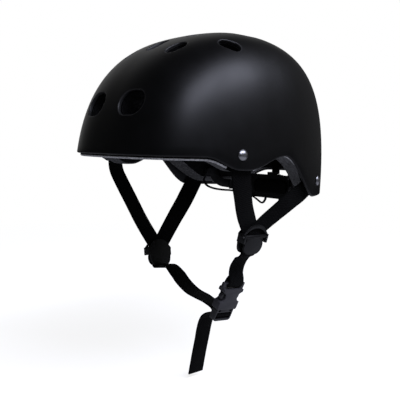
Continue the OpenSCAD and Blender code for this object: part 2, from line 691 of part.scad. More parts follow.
module buckle_plug() {
    color("#303134") buckle_frame() difference() {
        union() {
            rounded_slab(plug_width, plug_top - plug_length, plug_top, plug_thickness, 3);
            rounded_slab(plug_width, plug_top - 3, plug_top, plug_thickness, 0.6);
            translate([-socket_hollow + sliding_gap, -guide_half_width, plug_top - 1])
                cube([2 * (socket_hollow - sliding_gap), 2 * guide_half_width, 21]);
        }
        difference() {
            translate([-plug_thickness, -webbing_width / 2 - 0.5, window_bottom])
                cube([2 * plug_thickness, webbing_width + 1, window_top - window_bottom]);
            translate([-1, -plug_width, window_middle - ladder_bar / 2])
                cube([2, 2 * plug_width, ladder_bar]);
        }
        for (side = [-1, 1]) {
            translate([-plug_thickness, side * prong_middle, root_level]) rotate([0, 90, 0])
                cylinder(h = 2 * plug_thickness, r = root_radius + running_gap, $fn = 32);
            translate([-plug_thickness, side * prong_middle - root_radius - 0.3, root_level])
                cube([2 * plug_thickness, 2 * root_radius + 0.6, 2]);
        }
    }
}
// A prong: round root, straight stem and an ear that stands in the socket's side cut
module release_prong() {
    half = socket_hollow - sliding_gap;
    translate([-half, 0, 0]) facing_out(2 * half) {
        translate([prong_middle, root_level]) circle(r = root_radius, $fn = 32);
        translate([prong_middle - root_radius, root_level]) square([prong_width, prong_length - 1.6]);
        intersection() {
            translate([prong_middle - 0.6, ear_level]) circle(r = 5.4, $fn = 48);
            translate([prong_middle - root_radius, ear_level - 3.8])
                square([8, root_level + prong_length - ear_level + 3.8]);
        }
    }
}
module release_prong_front() {
    color("#303134") buckle_frame() mirror([0, 1, 0]) release_prong();
}
module release_prong_rear() {
    color("#303134") buckle_frame() release_prong();
}

// Pads follow the foam's inside: a back face on the foam, a crowned face towards the head
hook_gap = 0.7;
hook_thickness = 0.8;
pad_back = liner_inner + 2 * hook_gap + hook_thickness;
function crown_profile(u, v) = pow(1 - pow(abs(v), 3), 0.5) * pow(1 - pow(abs(u), 8), 0.5);
function channel(u, count) = 1 - 0.35 * pow(abs(cos(90 * count * (u + 1))), 12);
module strip_pad(bearing, half_span, level, height, thickness, cells, columns) {
    rows = 6;
    points = [for (side = [0, 1], i = [0 : columns], k = [0 : rows]) let (
            u = 2 * i / columns - 1,
            v = 2 * k / rows - 1,
            a = bearing + half_span * u,
            z = level + v * height / 2 * pow(1 - pow(abs(u), 6), 1 / 3),
            rise = thickness * crown_profile(u, v) * channel(u, cells)
        ) inset_point(a, share_at(a, z, pad_back), pad_back + (side == 0 ? 0 : 0.4 + rise))];
    row = rows + 1;
    sheet = (columns + 1) * row;
    skins = [for (side = [0, 1], i = [0 : columns - 1], k = [0 : rows - 1], half = [0, 1]) let (
            a = side * sheet + i * row + k,
            tri = half == 0 ? [a, a + 1, a + row] : [a + row, a + 1, a + row + 1]
        ) side == 0 ? tri : [tri[2], tri[1], tri[0]]];
    long_edges = [for (i = [0 : columns - 1], k = [0, rows], half = [0, 1]) let (
            a = i * row + k, b = a + row,
            tri = half == 0 ? [a, b, sheet + a] : [b, sheet + b, sheet + a]
        ) k == 0 ? tri : [tri[2], tri[1], tri[0]]];
    short_edges = [for (i = [0, columns], k = [0 : rows - 1], half = [0, 1]) let (
            a = i * row + k, b = a + 1,
            tri = half == 0 ? [a, sheet + a, b] : [b, sheet + a, sheet + b]
        ) i == 0 ? tri : [tri[2], tri[1], tri[0]]];
    polyhedron(points, concat(skins, long_edges, short_edges), convexity = 6);
}
module brow_pad() {
    color("#161617") strip_pad(-90, 52, brow_level + 3 + brow_pad_height / 2, brow_pad_height,
        pad_thickness, 5, 40);
}
module side_pad() {
    strip_pad(-4, 26, 30, 34, side_pad_thickness, 2, 20);
}
module side_pad_left() {
    color("#161617") side_pad();
}
module side_pad_right() {
    color("#161617") mirror([1, 0, 0]) side_pad();
}
module rear_pad() {
    color("#161617") strip_pad(90, 32, 22, 30, pad_thickness, 3, 24);
}
// The crown pad is a rounded cap with four lobes under the highest part of the foam
function share_out(a, reach, low = 0.4, high = 1, steps = 12) = let (mid = (low + high) / 2)
    steps == 0 ? mid
    : norm(inset_point(a, mid, pad_back) - inset_point(0, 1, pad_back)) > reach
        ? share_out(a, reach, mid, high, steps - 1) : share_out(a, reach, low, mid, steps - 1);
module crown_pad() {
    columns = 40;
    rows = 5;
    reach = [for (j = [0 : columns - 1]) 1 - share_out(360 * j / columns,
        crown_pad_reach * (1 + 0.16 * pow(sin(2 * 360 * j / columns), 2)))];
    rings = [for (side = [0, 1], i = [0 : rows - 1], j = [0 : columns - 1]) let (
            s = 1 - i / rows,
            a = 360 * j / columns,
            rise = crown_pad_thickness * pow(1 - pow(s, 3), 0.5) * (1 - 0.3 * pow(abs(cos(2 * a)), 30) * s)
        ) inset_point(a, 1 - s * reach[j], pad_back + (side == 0 ? 0 : 0.4 + rise))];
    ring = rows * columns;
    poles = [inset_point(0, 1, pad_back), inset_point(0, 1, pad_back + 0.4 + crown_pad_thickness)];
    walls = [for (side = [0, 1], i = [0 : rows - 2], j = [0 : columns - 1], half = [0, 1]) let (
            a = side * ring + i * columns + j,
            b = side * ring + i * columns + (j + 1) % columns,
            tri = half == 0 ? [a, a + columns, b] : [b, a + columns, b + columns]
        ) side == 0 ? tri : [tri[2], tri[1], tri[0]]];
    caps = [for (side = [0, 1], j = [0 : columns - 1]) let (
            a = side * ring + (rows - 1) * columns + j,
            b = side * ring + (rows - 1) * columns + (j + 1) % columns,
            top = 2 * ring + side
        ) side == 0 ? [a, top, b] : [b, top, a]];
    edge = [for (j = [0 : columns - 1], half = [0, 1]) let (b = (j + 1) % columns)
        half == 0 ? [j, b, ring + j] : [b, ring + b, ring + j]];
    color("#161617") polyhedron(concat(rings, poles), concat(walls, caps, edge), convexity = 6);
}
// Hook fasteners between the foam and the pads: bearing and level of each
hook_places = [[-90, 15], [-62, 15], [-118, 15], [-20, 30], [10, 30], [170, 30], [200, 30],
    [75, 22], [105, 22]];
module pad_hook_dots() {
    color("#2b2b2d") for (place = hook_places)
        on_dome([place[0], share_at(place[0], place[1])])
            translate([0, 0, -liner_inner - hook_gap - hook_thickness])
                cylinder(h = hook_thickness, d = hook_diameter, $fn = 32);
    color("#2b2b2d") translate([0, crown_shift, crown_height - liner_inner - hook_gap - hook_thickness])
        cylinder(h = hook_thickness, d = hook_diameter, $fn = 32);
}

// Fit dial: the cradle is a tray for two racks that a pinion draws together
cradle_back = rear_length - cradle_inset;
tray_floor = 1.8;
rack_thickness = 2;
rack_front = cradle_back + tray_floor + sliding_gap;
rack_rear = rack_front + rack_thickness + sliding_gap;
tray_depth = tray_floor + 2 * rack_thickness + 3 * sliding_gap;
cover_thickness = 1.6;
cover_back = cradle_back + tray_depth;
rack_height = housing_height - 8.4; // stays between the cover's screws
rack_slot = 2 * pinion_radius + 3.2;
rack_travel = 10.5;
rack_end = 22;
rack_reach = 26;
slot_half_length = 18;
journal_radius = 3.2;
shaft_radius = 4;
tray_wall = 1.8;
corner = 4;
module seen_from_behind(depth) {
    rotate([90, 0, 180]) linear_extrude(depth) children();
}
module housing_outline(shrink) {
    offset(r = corner - shrink)
        square([2 * (housing_half_width - corner), housing_height - 2 * corner], center = true);
}
module plate(back, depth) {
    translate([0, back, dial_level]) mirror([0, 1, 0]) rotate([90, 0, 0]) linear_extrude(depth) children();
}
screw_places = [[-29, 10.6], [29, -10.6]];
wing_radius = 54;
wing_thickness = tray_floor;
wing_height = 11;
wing_start = asin((housing_half_width - 2) / wing_radius);
wing_end = wing_start + 26;
wing_middle = cradle_back + tray_floor / 2 - wing_radius * cos(wing_start);
module wing() {
    translate([0, wing_middle, dial_level - wing_height / 2]) difference() {
        rotate([0, 0, 90 - wing_end]) rotate_extrude(angle = wing_end - wing_start + 3, $fn = 128)
            translate([wing_radius, 0]) square([wing_thickness, wing_height]);
        rotate([0, 0, 90 - wing_end + 5]) rotate_extrude(angle = wing_end - wing_start - 10, $fn = 128)
            translate([wing_radius - cut_margin, wing_height / 2 - 2])
                square([wing_thickness + 2 * cut_margin, 4]);
    }
}
// A thin bow runs from under the dial round the nape to the anchor of the fit band
anchor_bearing = 38;
anchor_level = -22;
anchor_place = [anchor_bearing, share_at(anchor_bearing, anchor_level)];
band_depth = liner_inner + 5 * rest_gap + band_thickness / 2;
band_anchor = near_dome(anchor_place, 0, 0, band_depth);
bow_size = 2;
bow_depth = band_depth + band_thickness / 2 + 0.6 + bow_size / 2;
anchor_up = near_dome(anchor_place, 0, 1, 0) - near_dome(anchor_place, 0, 0, 0);
bow_anchor = near_dome(anchor_place, 0, 0, bow_depth);
module bow() {
    difference() {
        union() {
            flat_strap([[10.6, cradle_back + 4.6, dial_level - housing_height / 2 + 1.4],
                [11.2, cradle_back + 4.6, -54], [15, cradle_back + 3.6, -58.4],
                [21, cradle_back + 1.6, -55], [27, cradle_back - 1.4, -51],
                inside(69, cradle_back - 8, -47.8), inside(59, cradle_back - 15.8, -45.4),
                inside(51.4, cradle_back - 24.6, -44.8), inside(45.6, cradle_back - 34.4, -43),
                inside(41.6, cradle_back - 42, -39), inside(40, cradle_back - 44.4, -32.6), bow_anchor],
                [[0, 0, 1], [0, 0.6, 0.8]], bow_size, bow_size);
            on_dome(anchor_place) translate([0, 0, -bow_depth - bow_size / 2])
                cylinder(h = bow_size, r = 3.4, $fn = 32);
        }
        on_dome(anchor_place) translate([0, 0, -bow_depth - bow_size])
            cylinder(h = 2 * bow_size, r = anchor_peg_radius + hole_gap, $fn = 24);
    }
}
arm_back = foam_back - 4 * rest_gap;
arm_half_width = 5;
arm_thickness = 2.2;
arm_low = dial_level + knob_radius + 0.6;
module rear_cradle() {
    color("#1d1e1f") difference() {
        union() {
            plate(cradle_back, tray_depth) housing_outline(0);
            both_sides() wing();
            both_sides() bow();
            translate([-arm_half_width, cradle_back, dial_level + housing_height / 2 - 2])
                cube([2 * arm_half_width, tray_depth,
                    arm_low + arm_thickness - dial_level - housing_height / 2 + 2]);
            translate([-arm_half_width, cradle_back, arm_low])
                cube([2 * arm_half_width, arm_back - cradle_back, arm_thickness]);
            translate([-arm_half_width, arm_back - arm_thickness, arm_low])
                cube([2 * arm_half_width, arm_thickness, arm_peg_level + 6 - arm_low]);
            translate([0, arm_back - cut_margin, arm_peg_level]) rotate([-90, 0, 0])
                cylinder(h = arm_peg_length + cut_margin, r = arm_peg_radius, $fn = 32);
        }
        plate(cradle_back + tray_floor, tray_depth)
            square([2 * (housing_half_width + cut_margin), rack_height + 2 * sliding_gap], center = true);
        translate([0, cradle_back - cut_margin, dial_level]) rotate([-90, 0, 0])
            cylinder(h = tray_floor + 2 * cut_margin, r = journal_radius + running_gap, $fn = 48);
        for (place = screw_places) translate([place.x, cradle_back + tray_floor, dial_level + place.y])
            rotate([-90, 0, 0]) cylinder(h = tray_depth, r = 0.9, $fn = 24);
    }
}
module cradle_cover() {
    color("#232425") difference() {
        plate(cover_back, cover_thickness) housing_outline(0.4);
        translate([0, cover_back - cut_margin, dial_level]) rotate([-90, 0, 0])
            cylinder(h = cover_thickness + 2 * cut_margin, r = shaft_radius + running_gap, $fn = 48);
        for (place = screw_places) translate([place.x, cover_back - cut_margin, dial_level + place.y])
            rotate([-90, 0, 0]) cylinder(h = cover_thickness + 2 * cut_margin, r = 1.05, $fn = 24);
    }
}
module cover_screws() {
    color("#8d9094") for (place = screw_places)
        translate([place.x, cover_back + cover_thickness, dial_level + place.y])
        rotate([-90, 0, 0]) {
            difference() {
                cylinder(h = 1, r = 1.7, $fn = 32);
                translate([-2, -0.25, 0.5]) cube([4, 0.5, 1]);
            }
            translate([0, 0, -cover_thickness - 3]) cylinder(h = cover_thickness + 3.2, r = 0.85, $fn = 24);
        }
}

// Involute pinion and the straight racks that it meshes with
pressure = 25;
tooth_module = 2 * pinion_radius / pinion_teeth;
addendum = 0.8 * tooth_module;
dedendum = 1.05 * tooth_module;
backlash = 0.16;
tooth_pitch = PI * tooth_module;
base_radius = pinion_radius * cos(pressure);
function involute(r) = let (a = acos(min(base_radius / r, 1))) tan(a) * 180 / PI - a;
function half_tooth(r) = 90 / pinion_teeth - backlash / 4 / pinion_radius * 180 / PI
    + involute(pinion_radius) - involute(r);
function polar(r, a) = [r * cos(a), r * sin(a)];
flank = [for (k = [0 : 4]) mix(base_radius, pinion_radius + addendum, k / 4)];
module pinion_outline() {
    polygon([for (tooth = [0 : pinion_teeth - 1]) let (middle = 360 * tooth / pinion_teeth)
        for (p = concat([polar(pinion_radius - dedendum, middle - half_tooth(base_radius))],
            [for (r = flank) polar(r, middle - half_tooth(r))],
            [for (k = [4 : -1 : 0]) polar(flank[k], middle + half_tooth(flank[k]))],
            [polar(pinion_radius - dedendum, middle + half_tooth(base_radius))])) p]);
}
module rack_teeth() {
    half = tooth_pitch / 4 - backlash / 4;
    slope = tan(pressure);
    root = dedendum + 0.2;
    count = floor((slot_half_length - 1) / tooth_pitch);
    for (k = [-count : count - 1]) translate([(k + 0.5) * tooth_pitch, pinion_radius])
        polygon([[-half + addendum * slope, -addendum], [half - addendum * slope, -addendum],
            [half + root * slope, root], [-half - root * slope, root]]);
}
module rack_outline() {
    difference() {
        translate([-rack_end, -rack_height / 2]) square([rack_end + rack_reach, rack_height]);
        translate([-slot_half_length, -rack_slot / 2])
            square([2 * slot_half_length, rack_slot / 2 + pinion_radius + dedendum]);
    }
    rack_teeth();
}
module rack_left() {
    color("#2a2b2c") plate(rack_front, rack_thickness) rack_outline();
}
module rack_right() {
    color("#2a2b2c") plate(rack_rear, rack_thickness) rotate(180) rack_outline();
}
shaft_end = cover_back + cover_thickness + 4.5;
module dial_pinion() {
    color("#4a4b4d") difference() {
        union() {
            plate(rack_front, cover_back - rack_front - 0.15) pinion_outline();
            translate([0, cradle_back + 0.2, dial_level]) rotate([-90, 0, 0])
                cylinder(h = tray_floor + 0.3, r = journal_radius, $fn = 48);
            translate([0, cover_back - 0.2, dial_level]) rotate([-90, 0, 0])
                cylinder(h = cover_thickness + 0.4, r = shaft_radius, $fn = 48);
            plate(cover_back + cover_thickness, shaft_end - cover_back - cover_thickness)
                square([5, 5], center = true);
        }
        translate([0, shaft_end - 7, dial_level]) rotate([-90, 0, 0])
            cylinder(h = 7 + cut_margin, r = 1.05, $fn = 24);
    }
}
knob_back = cover_back + cover_thickness + 0.4;
grips = 18;
module dial_knob() {
    color("#1d1e1f") difference() {
        union() {
            plate(knob_back, knob_depth - 1.2) difference() {
                circle(r = knob_radius, $fn = 72);
                for (k = [0 : grips - 1]) rotate(360 * k / grips)
                    translate([knob_radius + 0.5, 0]) circle(r = 1.3, $fn = 24);
            }
            translate([0, knob_back + knob_depth - 1.2, dial_level]) rotate([-90, 0, 0])
                cylinder(h = 1.2, r1 = knob_radius - 1.2, r2 = knob_radius - 2.4, $fn = 72);
        }
        plate(knob_back - cut_margin, shaft_end - knob_back + cut_margin + 0.2)
            square([5.2, 5.2], center = true);
        translate([0, knob_back, dial_level]) rotate([-90, 0, 0])
            cylinder(h = knob_depth + cut_margin, r = 1.35, $fn = 24);
        translate([0, knob_back + knob_depth - 2.2, dial_level]) rotate([-90, 0, 0])
            cylinder(h = 2.2 + cut_margin, r = 2.9, $fn = 32);
        translate([0, knob_back - cut_margin, dial_level]) rotate([-90, 0, 0]) difference() {
            cylinder(h = 1.6 + cut_margin, r = knob_radius - 2.2, $fn = 72);
            translate([0, 0, -cut_margin]) cylinder(h = 6, r = 5.4, $fn = 48);
        }
    }
}
module dial_screw() {
    color("#8d9094") translate([0, knob_back + knob_depth - 2.1, dial_level]) rotate([-90, 0, 0]) {
        difference() {
            cylinder(h = 1.6, r = 2.6, $fn = 32);
            translate([-3, -0.35, 0.9]) cube([6, 0.7, 1]);
        }
        translate([0, 0, -7]) cylinder(h = 7.2, r = 0.95, $fn = 24);
    }
}

// Fit bands run from the racks round the nape to the foam behind the ears
left_band_middle = rack_front + rack_thickness / 2;
right_band_middle = rack_rear + rack_thickness / 2;
band_radius = wing_radius + wing_thickness + rest_gap + band_thickness / 2;
function on_band(turn, level) =
    [band_radius * sin(turn), wing_middle + band_radius * cos(turn), dial_level + level];
module band(start_y) {
    difference() {
        flat_strap([[rack_reach + 0.2, start_y, dial_level], [31, start_y + 0.2, dial_level], on_band(40, 0),
            on_band(46, 0), on_band(52, 0), on_band(60, 0.4), on_band(68, 1.2), on_band(76, 3),
            near_dome(anchor_place, 8.1, -7.4, band_depth + 1.2),
            near_dome(anchor_place, 6, -2, band_depth + 0.5), band_anchor,
            near_dome(anchor_place, -4, 1, band_depth)],
            concat([for (k = [0 : 5]) [0, 0, 1]], [for (k = [1 : 2]) mix([0, 0, 1], anchor_up, k / 3)],
                [for (k = [8 : 11]) anchor_up]), band_width, band_thickness);
        on_dome(anchor_place) translate([0, 0, -band_depth - 2])
            cylinder(h = 4, r = anchor_peg_radius + hole_gap, $fn = 24);
    }
}
module fit_band_left() {
    color("#202122") band(left_band_middle);
}
module fit_band_right() {
    color("#202122") mirror([1, 0, 0]) band(right_band_middle);
}
module band_anchors() {
    color("#2a2b2c") both_sides() on_dome(anchor_place)
        translate([0, 0, -bow_depth - bow_size / 2 - 0.5]) {
            translate([0, 0, -1.2]) cylinder(h = 1.2, r = 3.2, $fn = 32);
            translate([0, 0, -0.2])
                cylinder(h = bow_size + band_thickness + 8, r = anchor_peg_radius, $fn = 32);
        }
}
module cradle_pad() {
    color("#161617") translate([0, cradle_back - rest_gap, dial_level]) rotate([90, 0, 0]) hull() {
        linear_extrude(0.5) offset(r = 5) square([44, 10], center = true);
        translate([0, 0, 2.2]) linear_extrude(0.8) offset(r = 5) square([40, 6], center = true);
        translate([0, 0, 3.4]) linear_extrude(0.4) offset(r = 4) square([34, 3], center = true);
    }
}

outer_shell();
foam_liner();
brow_pad();
crown_pad();
side_pad_left();
side_pad_right();
rear_pad();
pad_hook_dots();
strap_rivets();
rivet_washers();
front_strap_left();
front_strap_right();
rear_strap_left();
rear_strap_right();
divider_base_left();
divider_base_right();
divider_lever_left();
divider_lever_right();
divider_pin_left();
divider_pin_right();
chin_strap_left();
chin_strap_right();
strap_tail();
buckle_socket();
buckle_plug();
release_prong_front();
release_prong_rear();
rear_cradle();
cradle_cover();
cover_screws();
dial_pinion();
dial_knob();
dial_screw();
rack_left();
rack_right();
fit_band_left();
fit_band_right();
band_anchors();
cradle_pad();
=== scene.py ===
import math
import bpy
from mathutils import Euler, Matrix, Vector
from mathutils.bvhtree import BVHTree


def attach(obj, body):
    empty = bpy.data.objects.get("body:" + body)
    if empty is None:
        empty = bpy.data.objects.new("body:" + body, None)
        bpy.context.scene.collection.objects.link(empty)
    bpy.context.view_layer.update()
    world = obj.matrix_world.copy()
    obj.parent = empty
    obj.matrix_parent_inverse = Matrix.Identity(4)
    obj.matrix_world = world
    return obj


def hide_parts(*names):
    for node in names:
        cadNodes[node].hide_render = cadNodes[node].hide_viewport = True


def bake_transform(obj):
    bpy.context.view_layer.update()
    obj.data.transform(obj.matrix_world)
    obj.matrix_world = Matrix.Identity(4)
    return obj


# Skate helmet dressed over its CAD frame: front is -Y, the wearer's left is +X
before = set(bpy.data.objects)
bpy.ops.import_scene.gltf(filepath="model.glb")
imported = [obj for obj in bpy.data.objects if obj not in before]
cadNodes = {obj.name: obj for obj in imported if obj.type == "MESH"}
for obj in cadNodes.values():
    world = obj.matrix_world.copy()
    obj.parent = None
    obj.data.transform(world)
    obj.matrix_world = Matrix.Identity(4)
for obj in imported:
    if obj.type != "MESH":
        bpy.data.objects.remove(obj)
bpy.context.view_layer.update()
mm = 0.001
weld = {"made": 0.000004, "cad": 0.000002}  # points closer than this are joined, in metres


def deselect():
    if bpy.context.object and bpy.context.object.mode != "OBJECT":
        bpy.ops.object.mode_set(mode="OBJECT")
    bpy.ops.object.select_all(action="DESELECT")


def pick(piece):
    deselect()
    piece.select_set(True)
    bpy.context.view_layer.objects.active = piece


def linked(name, data):
    made = bpy.data.objects.new(name, data)
    bpy.context.scene.collection.objects.link(made)
    return made


def useModifier(piece, kind, **values):
    pick(piece)
    modifier = piece.modifiers.new(kind.title(), kind)
    for key, value in values.items():
        setattr(modifier, key, value)
    bpy.ops.object.modifier_apply(modifier=modifier.name)


def smooth(piece, angle):
    pick(piece)
    bpy.ops.object.shade_smooth_by_angle(angle=math.radians(angle))


def outward(piece, near, fillEnds=False):
    pick(piece)
    bpy.ops.object.mode_set(mode="EDIT")
    bpy.ops.mesh.select_all(action="SELECT")
    bpy.ops.mesh.remove_doubles(threshold=near)
    bpy.ops.mesh.select_all(action="SELECT")
    if fillEnds:
        bpy.ops.mesh.fill_holes(sides=0)
        bpy.ops.mesh.select_all(action="SELECT")
    bpy.ops.mesh.normals_make_consistent(inside=False)
    bpy.ops.object.mode_set(mode="OBJECT")


def gridPiece(name, columns, rows, place, measure=None, fillEnds=False):
    # a grid whose own places (u, v) from 0 to 1 are laid onto a surface, in millimetres
    deselect()
    bpy.ops.mesh.primitive_grid_add(x_subdivisions=columns, y_subdivisions=rows, size=1,
                                    calc_uvs=True)
    piece = bpy.context.object
    piece.name = piece.data.name = name
    mesh = piece.data
    if measure:
        layer = mesh.uv_layers.active.data
        for loop in mesh.loops:
            co = mesh.vertices[loop.vertex_index].co
            layer[loop.index].uv = measure(co.x + 0.5, co.y + 0.5)
    for vertex in mesh.vertices:
        vertex.co = Vector(place(vertex.co.x + 0.5, vertex.co.y + 0.5)) * mm
    outward(piece, weld["made"], fillEnds)
    return piece


def cut(piece, cutters):
    for cutter in cutters:
        useModifier(piece, "BOOLEAN", operation="DIFFERENCE", object=cutter, solver="EXACT")
        bpy.data.objects.remove(cutter)


def join(name, pieces):
    deselect()
    for piece in pieces:
        piece.select_set(True)
    bpy.context.view_layer.objects.active = pieces[0]
    bpy.ops.object.join()
    pieces[0].name = pieces[0].data.name = name
    return pieces[0]


def dress(piece, material, body="helmet", nodes=()):
    if material:
        piece.data.materials.clear()
        piece.data.materials.append(material)
    if nodes:
        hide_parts(*nodes)
    if body:
        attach(piece, body)
    return piece


# The dome follows the sizes and curves of the part's source; pairs and triples are
# (front, rear) and (side, front, rear)
dome = {
    "width": 212, "front": 137.5, "rear": 128.5, "crown": 119.5, "base": 42, "wall": 3,
    "shift": 7.5, "squareness": (2.75, 1.95), "lean": (1, 0, -6),
    "shoulder": (0.94, 0.495, 0.625), "reach": (0.62, 0.81, 0.95),
}
rim = {
    "brow": -2, "browEnd": 90, "lobeFront": 56, "lobeRear": 48, "lobe": -13, "archCentre": -2,
    "arch": -0.5, "napeFront": 51, "nape": -40, "rise": 20, "riseFlat": 28, "riseWidth": 70,
}
foam = {
    "outer": 3.6, "inner": 24.6, "browOverhang": 3, "lobeOverhang": 1.5, "napeRecess": 2,
    "napeFront": 62, "innerNapeFront": 86, "innerNape": -30.5, "innerFlat": 42,
}
probe = {"bearing": 0.5, "share": 0.01, "tip": 0.999, "highest": 0.9, "halvings": 14}


def sinD(angle):
    return math.sin(math.radians(angle))


def cosD(angle):
    return math.cos(math.radians(angle))


def mix(a, b, w):
    return a + (b - a) * w


def ease(w):
    return (1 - cosD(180 * min(max(w, 0), 1))) / 2


def planPoint(a):
    ahead = sinD(a) < 0
    n = dome["squareness"][0 if ahead else 1]
    half = dome["front"] if ahead else dome["rear"]
    r = (abs(cosD(a) * 2 / dome["width"]) ** n + abs(sinD(a) / half) ** n) ** (-1 / n)
    return r * cosD(a), r * sinD(a)


def around(values, a):
    ahead = sinD(a) < 0
    half = dome["front"] if ahead else dome["rear"]
    endness = (abs(planPoint(a)[1]) / half) ** dome["squareness"][0 if ahead else 1]
    return mix(values[0], values[1 if ahead else 2], endness)


def domePoint(a, t):
    # a is the bearing in degrees, t the share of the way from the base line to the crown
    x, y = planPoint(a)
    height = dome["crown"] + dome["base"]
    knee = around(dome["shoulder"], a) * height
    leaned = 1 - knee * math.tan(math.radians(around(dome["lean"], a))) / math.hypot(x, y)
    s = 1 - t
    k = s ** 3 + 3 * s * s * t * leaned + 3 * s * t * t * around(dome["reach"], a)
    z = 3 * s * s * t * knee + (3 * s * t * t + t ** 3) * height - dome["base"]
    return Vector((x * k, y * k + dome["shift"] * (1 - k), z))


def domeNormal(a, t):
    sideways = domePoint(a + probe["bearing"], t) - domePoint(a - probe["bearing"], t)
    upward = (domePoint(a, min(t + probe["share"], 1))
              - domePoint(a, max(t - probe["share"], 0)))
    return sideways.cross(upward).normalized()


def insetPoint(a, t, inset):
    if t > probe["tip"]:
        return Vector((0, dome["shift"], dome["crown"] - inset))
    return domePoint(a, t) - inset * domeNormal(a, t)


def shareAt(a, z, inset=0):
    low, high = 0, probe["highest"]
    for step in range(probe["halvings"]):
        middle = (low + high) / 2
        if insetPoint(a, middle, inset).z < z:
            low = middle
        else:
            high = middle
    return (low + high) / 2


def easedStep(y, y0, y1, z0, z1):
    return mix(z0, z1, ease((y - y0) / (y1 - y0)))


def edgeLevel(a, brow, lobe, nape, napeStart, flat):
    x, y = planPoint(a)
    if y < -rim["lobeFront"]:
        level = easedStep(y, -rim["browEnd"], -rim["lobeFront"], brow, lobe)
    elif y < rim["archCentre"]:
        level = easedStep(y, -rim["lobeRear"], rim["archCentre"], lobe, rim["arch"])
    else:
        level = easedStep(y, rim["archCentre"], napeStart, rim["arch"], nape)
    if y > 0:
        level += rim["rise"] * (1 - ease((abs(x) - flat) / (rim["riseWidth"] - flat)))
    return level


def shellEdge(a):
    return edgeLevel(a, rim["brow"], rim["lobe"], rim["nape"], rim["napeFront"], rim["riseFlat"])


def foamEdge(a, napeStart, flat):
    return edgeLevel(a, rim["brow"] - foam["browOverhang"], rim["lobe"] - foam["lobeOverhang"],
                     rim["nape"] + foam["napeRecess"], napeStart, flat)


def foamOuterEdge(a):
    return foamEdge(a, foam["napeFront"], rim["riseFlat"])


def foamInnerEdge(a):
    return max(foamEdge(a, foam["innerNapeFront"], foam["innerFlat"]), foam["innerNape"])


def tangentAt(place):
    return Vector((0, 0, 1)).cross(domeNormal(*place)).normalized()


def nearDome(place, alongIt, up, depth):
    n = domeNormal(*place)
    x = tangentAt(place)
    return domePoint(*place) + alongIt * x + up * n.cross(x) - depth * n


def mirrored(p):
    return Vector((-p[0], p[1], p[2]))


# Shader nodes: a link names its socket by label, or by number as n0, n1 and so on
def newGroup(name, inputs, outputs):
    tree = bpy.data.node_groups.new(name, "ShaderNodeTree")
    for label, value in inputs.items():
        socket = tree.interface.new_socket(name=label, in_out="INPUT",
                                           socket_type="NodeSocketFloat")
        socket.default_value = value
    for label in outputs:
        tree.interface.new_socket(name=label, in_out="OUTPUT", socket_type="NodeSocketFloat")
    return tree, tree.nodes.new("NodeGroupInput"), tree.nodes.new("NodeGroupOutput")


def node(tree, kind, settings=None, **links):
    made = tree.nodes.new(kind)
    for key, value in (settings or {}).items():
        setattr(made, key, value)
    for key, value in links.items():
        socket = made.inputs[int(key[1:]) if key[1:].isdigit() else key]
        if isinstance(value, bpy.types.NodeSocket):
            tree.links.new(value, socket)
        else:
            socket.default_value = value
    return made


def give(tree, target, **sources):
    for label, source in sources.items():
        tree.links.new(source, target.inputs[label])


def maths(tree, operation, a, b=0.0):
    return node(tree, "ShaderNodeMath", {"operation": operation}, n0=a, n1=b).outputs[0]


def plus(tree, a, b):
    return maths(tree, "ADD", a, b)


def times(tree, a, b):
    return maths(tree, "MULTIPLY", a, b)


def remap(tree, value, low, high, outLow=0.0, outHigh=1.0):
    made = node(tree, "ShaderNodeMapRange", n0=value, n1=low, n2=high, n3=outLow, n4=outHigh)
    return made.outputs[0]


def objectPlace(tree):
    return tree.nodes.new("ShaderNodeTexCoord").outputs["Object"]


def noise(tree, place, scale, detail, rough=0.5):
    return node(tree, "ShaderNodeTexNoise", Vector=place, Scale=scale, Detail=detail,
                Roughness=rough).outputs[0]


def cells(tree, feature, place, scale, **more):
    return node(tree, "ShaderNodeTexVoronoi", {"feature": feature}, Vector=place, Scale=scale,
                **more)


def makeGrainGroup():
    # moulded grain: fine pits, broad uneven patches and light handling scuffs
    tree, given, out = newGroup("mouldedGrain", {"Fineness": 2600, "Patch scale": 40},
                                ("Height", "Patches", "Scuffs"))
    place = objectPlace(tree)
    stretched = node(tree, "ShaderNodeMapping", Vector=place, Scale=(60, 420, 90)).outputs[0]
    broad = noise(tree, place, given.outputs["Patch scale"], 3.0, 0.55)
    give(tree, out, Height=noise(tree, place, given.outputs["Fineness"], 2.0),
         Patches=remap(tree, broad, 0.3, 0.7),
         Scuffs=remap(tree, noise(tree, stretched, 1.0, 4.0, 0.7), 0.62, 0.74))
    return tree


def makeWeaveGroup():
    # webbing: a basket weave of raised dots along the strap's own length, with plain selvedges;
    # its Shade paints light on the dots and shade between them
    tree, given, out = newGroup("strapWeaveWithPaintedLight", {"Thread": 0.0025, "Half width": 0.01},
                                ("Height", "Shade"))
    uv = node(tree, "ShaderNodeUVMap", {"uv_map": "UVMap"}).outputs[0]
    parts = node(tree, "ShaderNodeSeparateXYZ", n0=uv)
    waves = []
    for way in (0, 1):
        turns = maths(tree, "DIVIDE", parts.outputs[way], given.outputs["Thread"])
        waves.append(maths(tree, "SINE", times(tree, turns, 2 * math.pi)))
    aside = maths(tree, "DIVIDE", maths(tree, "ABSOLUTE", parts.outputs[0]),
                  given.outputs["Half width"])
    lumps = times(tree, times(tree, *waves), 0.5)
    plain = remap(tree, aside, 0.86, 0.92, 1.0, 0.25)  # flatter along the selvedges
    height = plus(tree, times(tree, lumps, plain), 0.5)
    fuzz = noise(tree, objectPlace(tree), 900.0, 3.0)
    # Shade follows the height: painted light on the raised dots, painted shade in the hollows,
    # with a little random fuzz
    give(tree, out, Height=height,
         Shade=plus(tree, times(tree, remap(tree, height, 0.45, 0.95), 0.85),
                    times(tree, fuzz, 0.15)))
    return tree


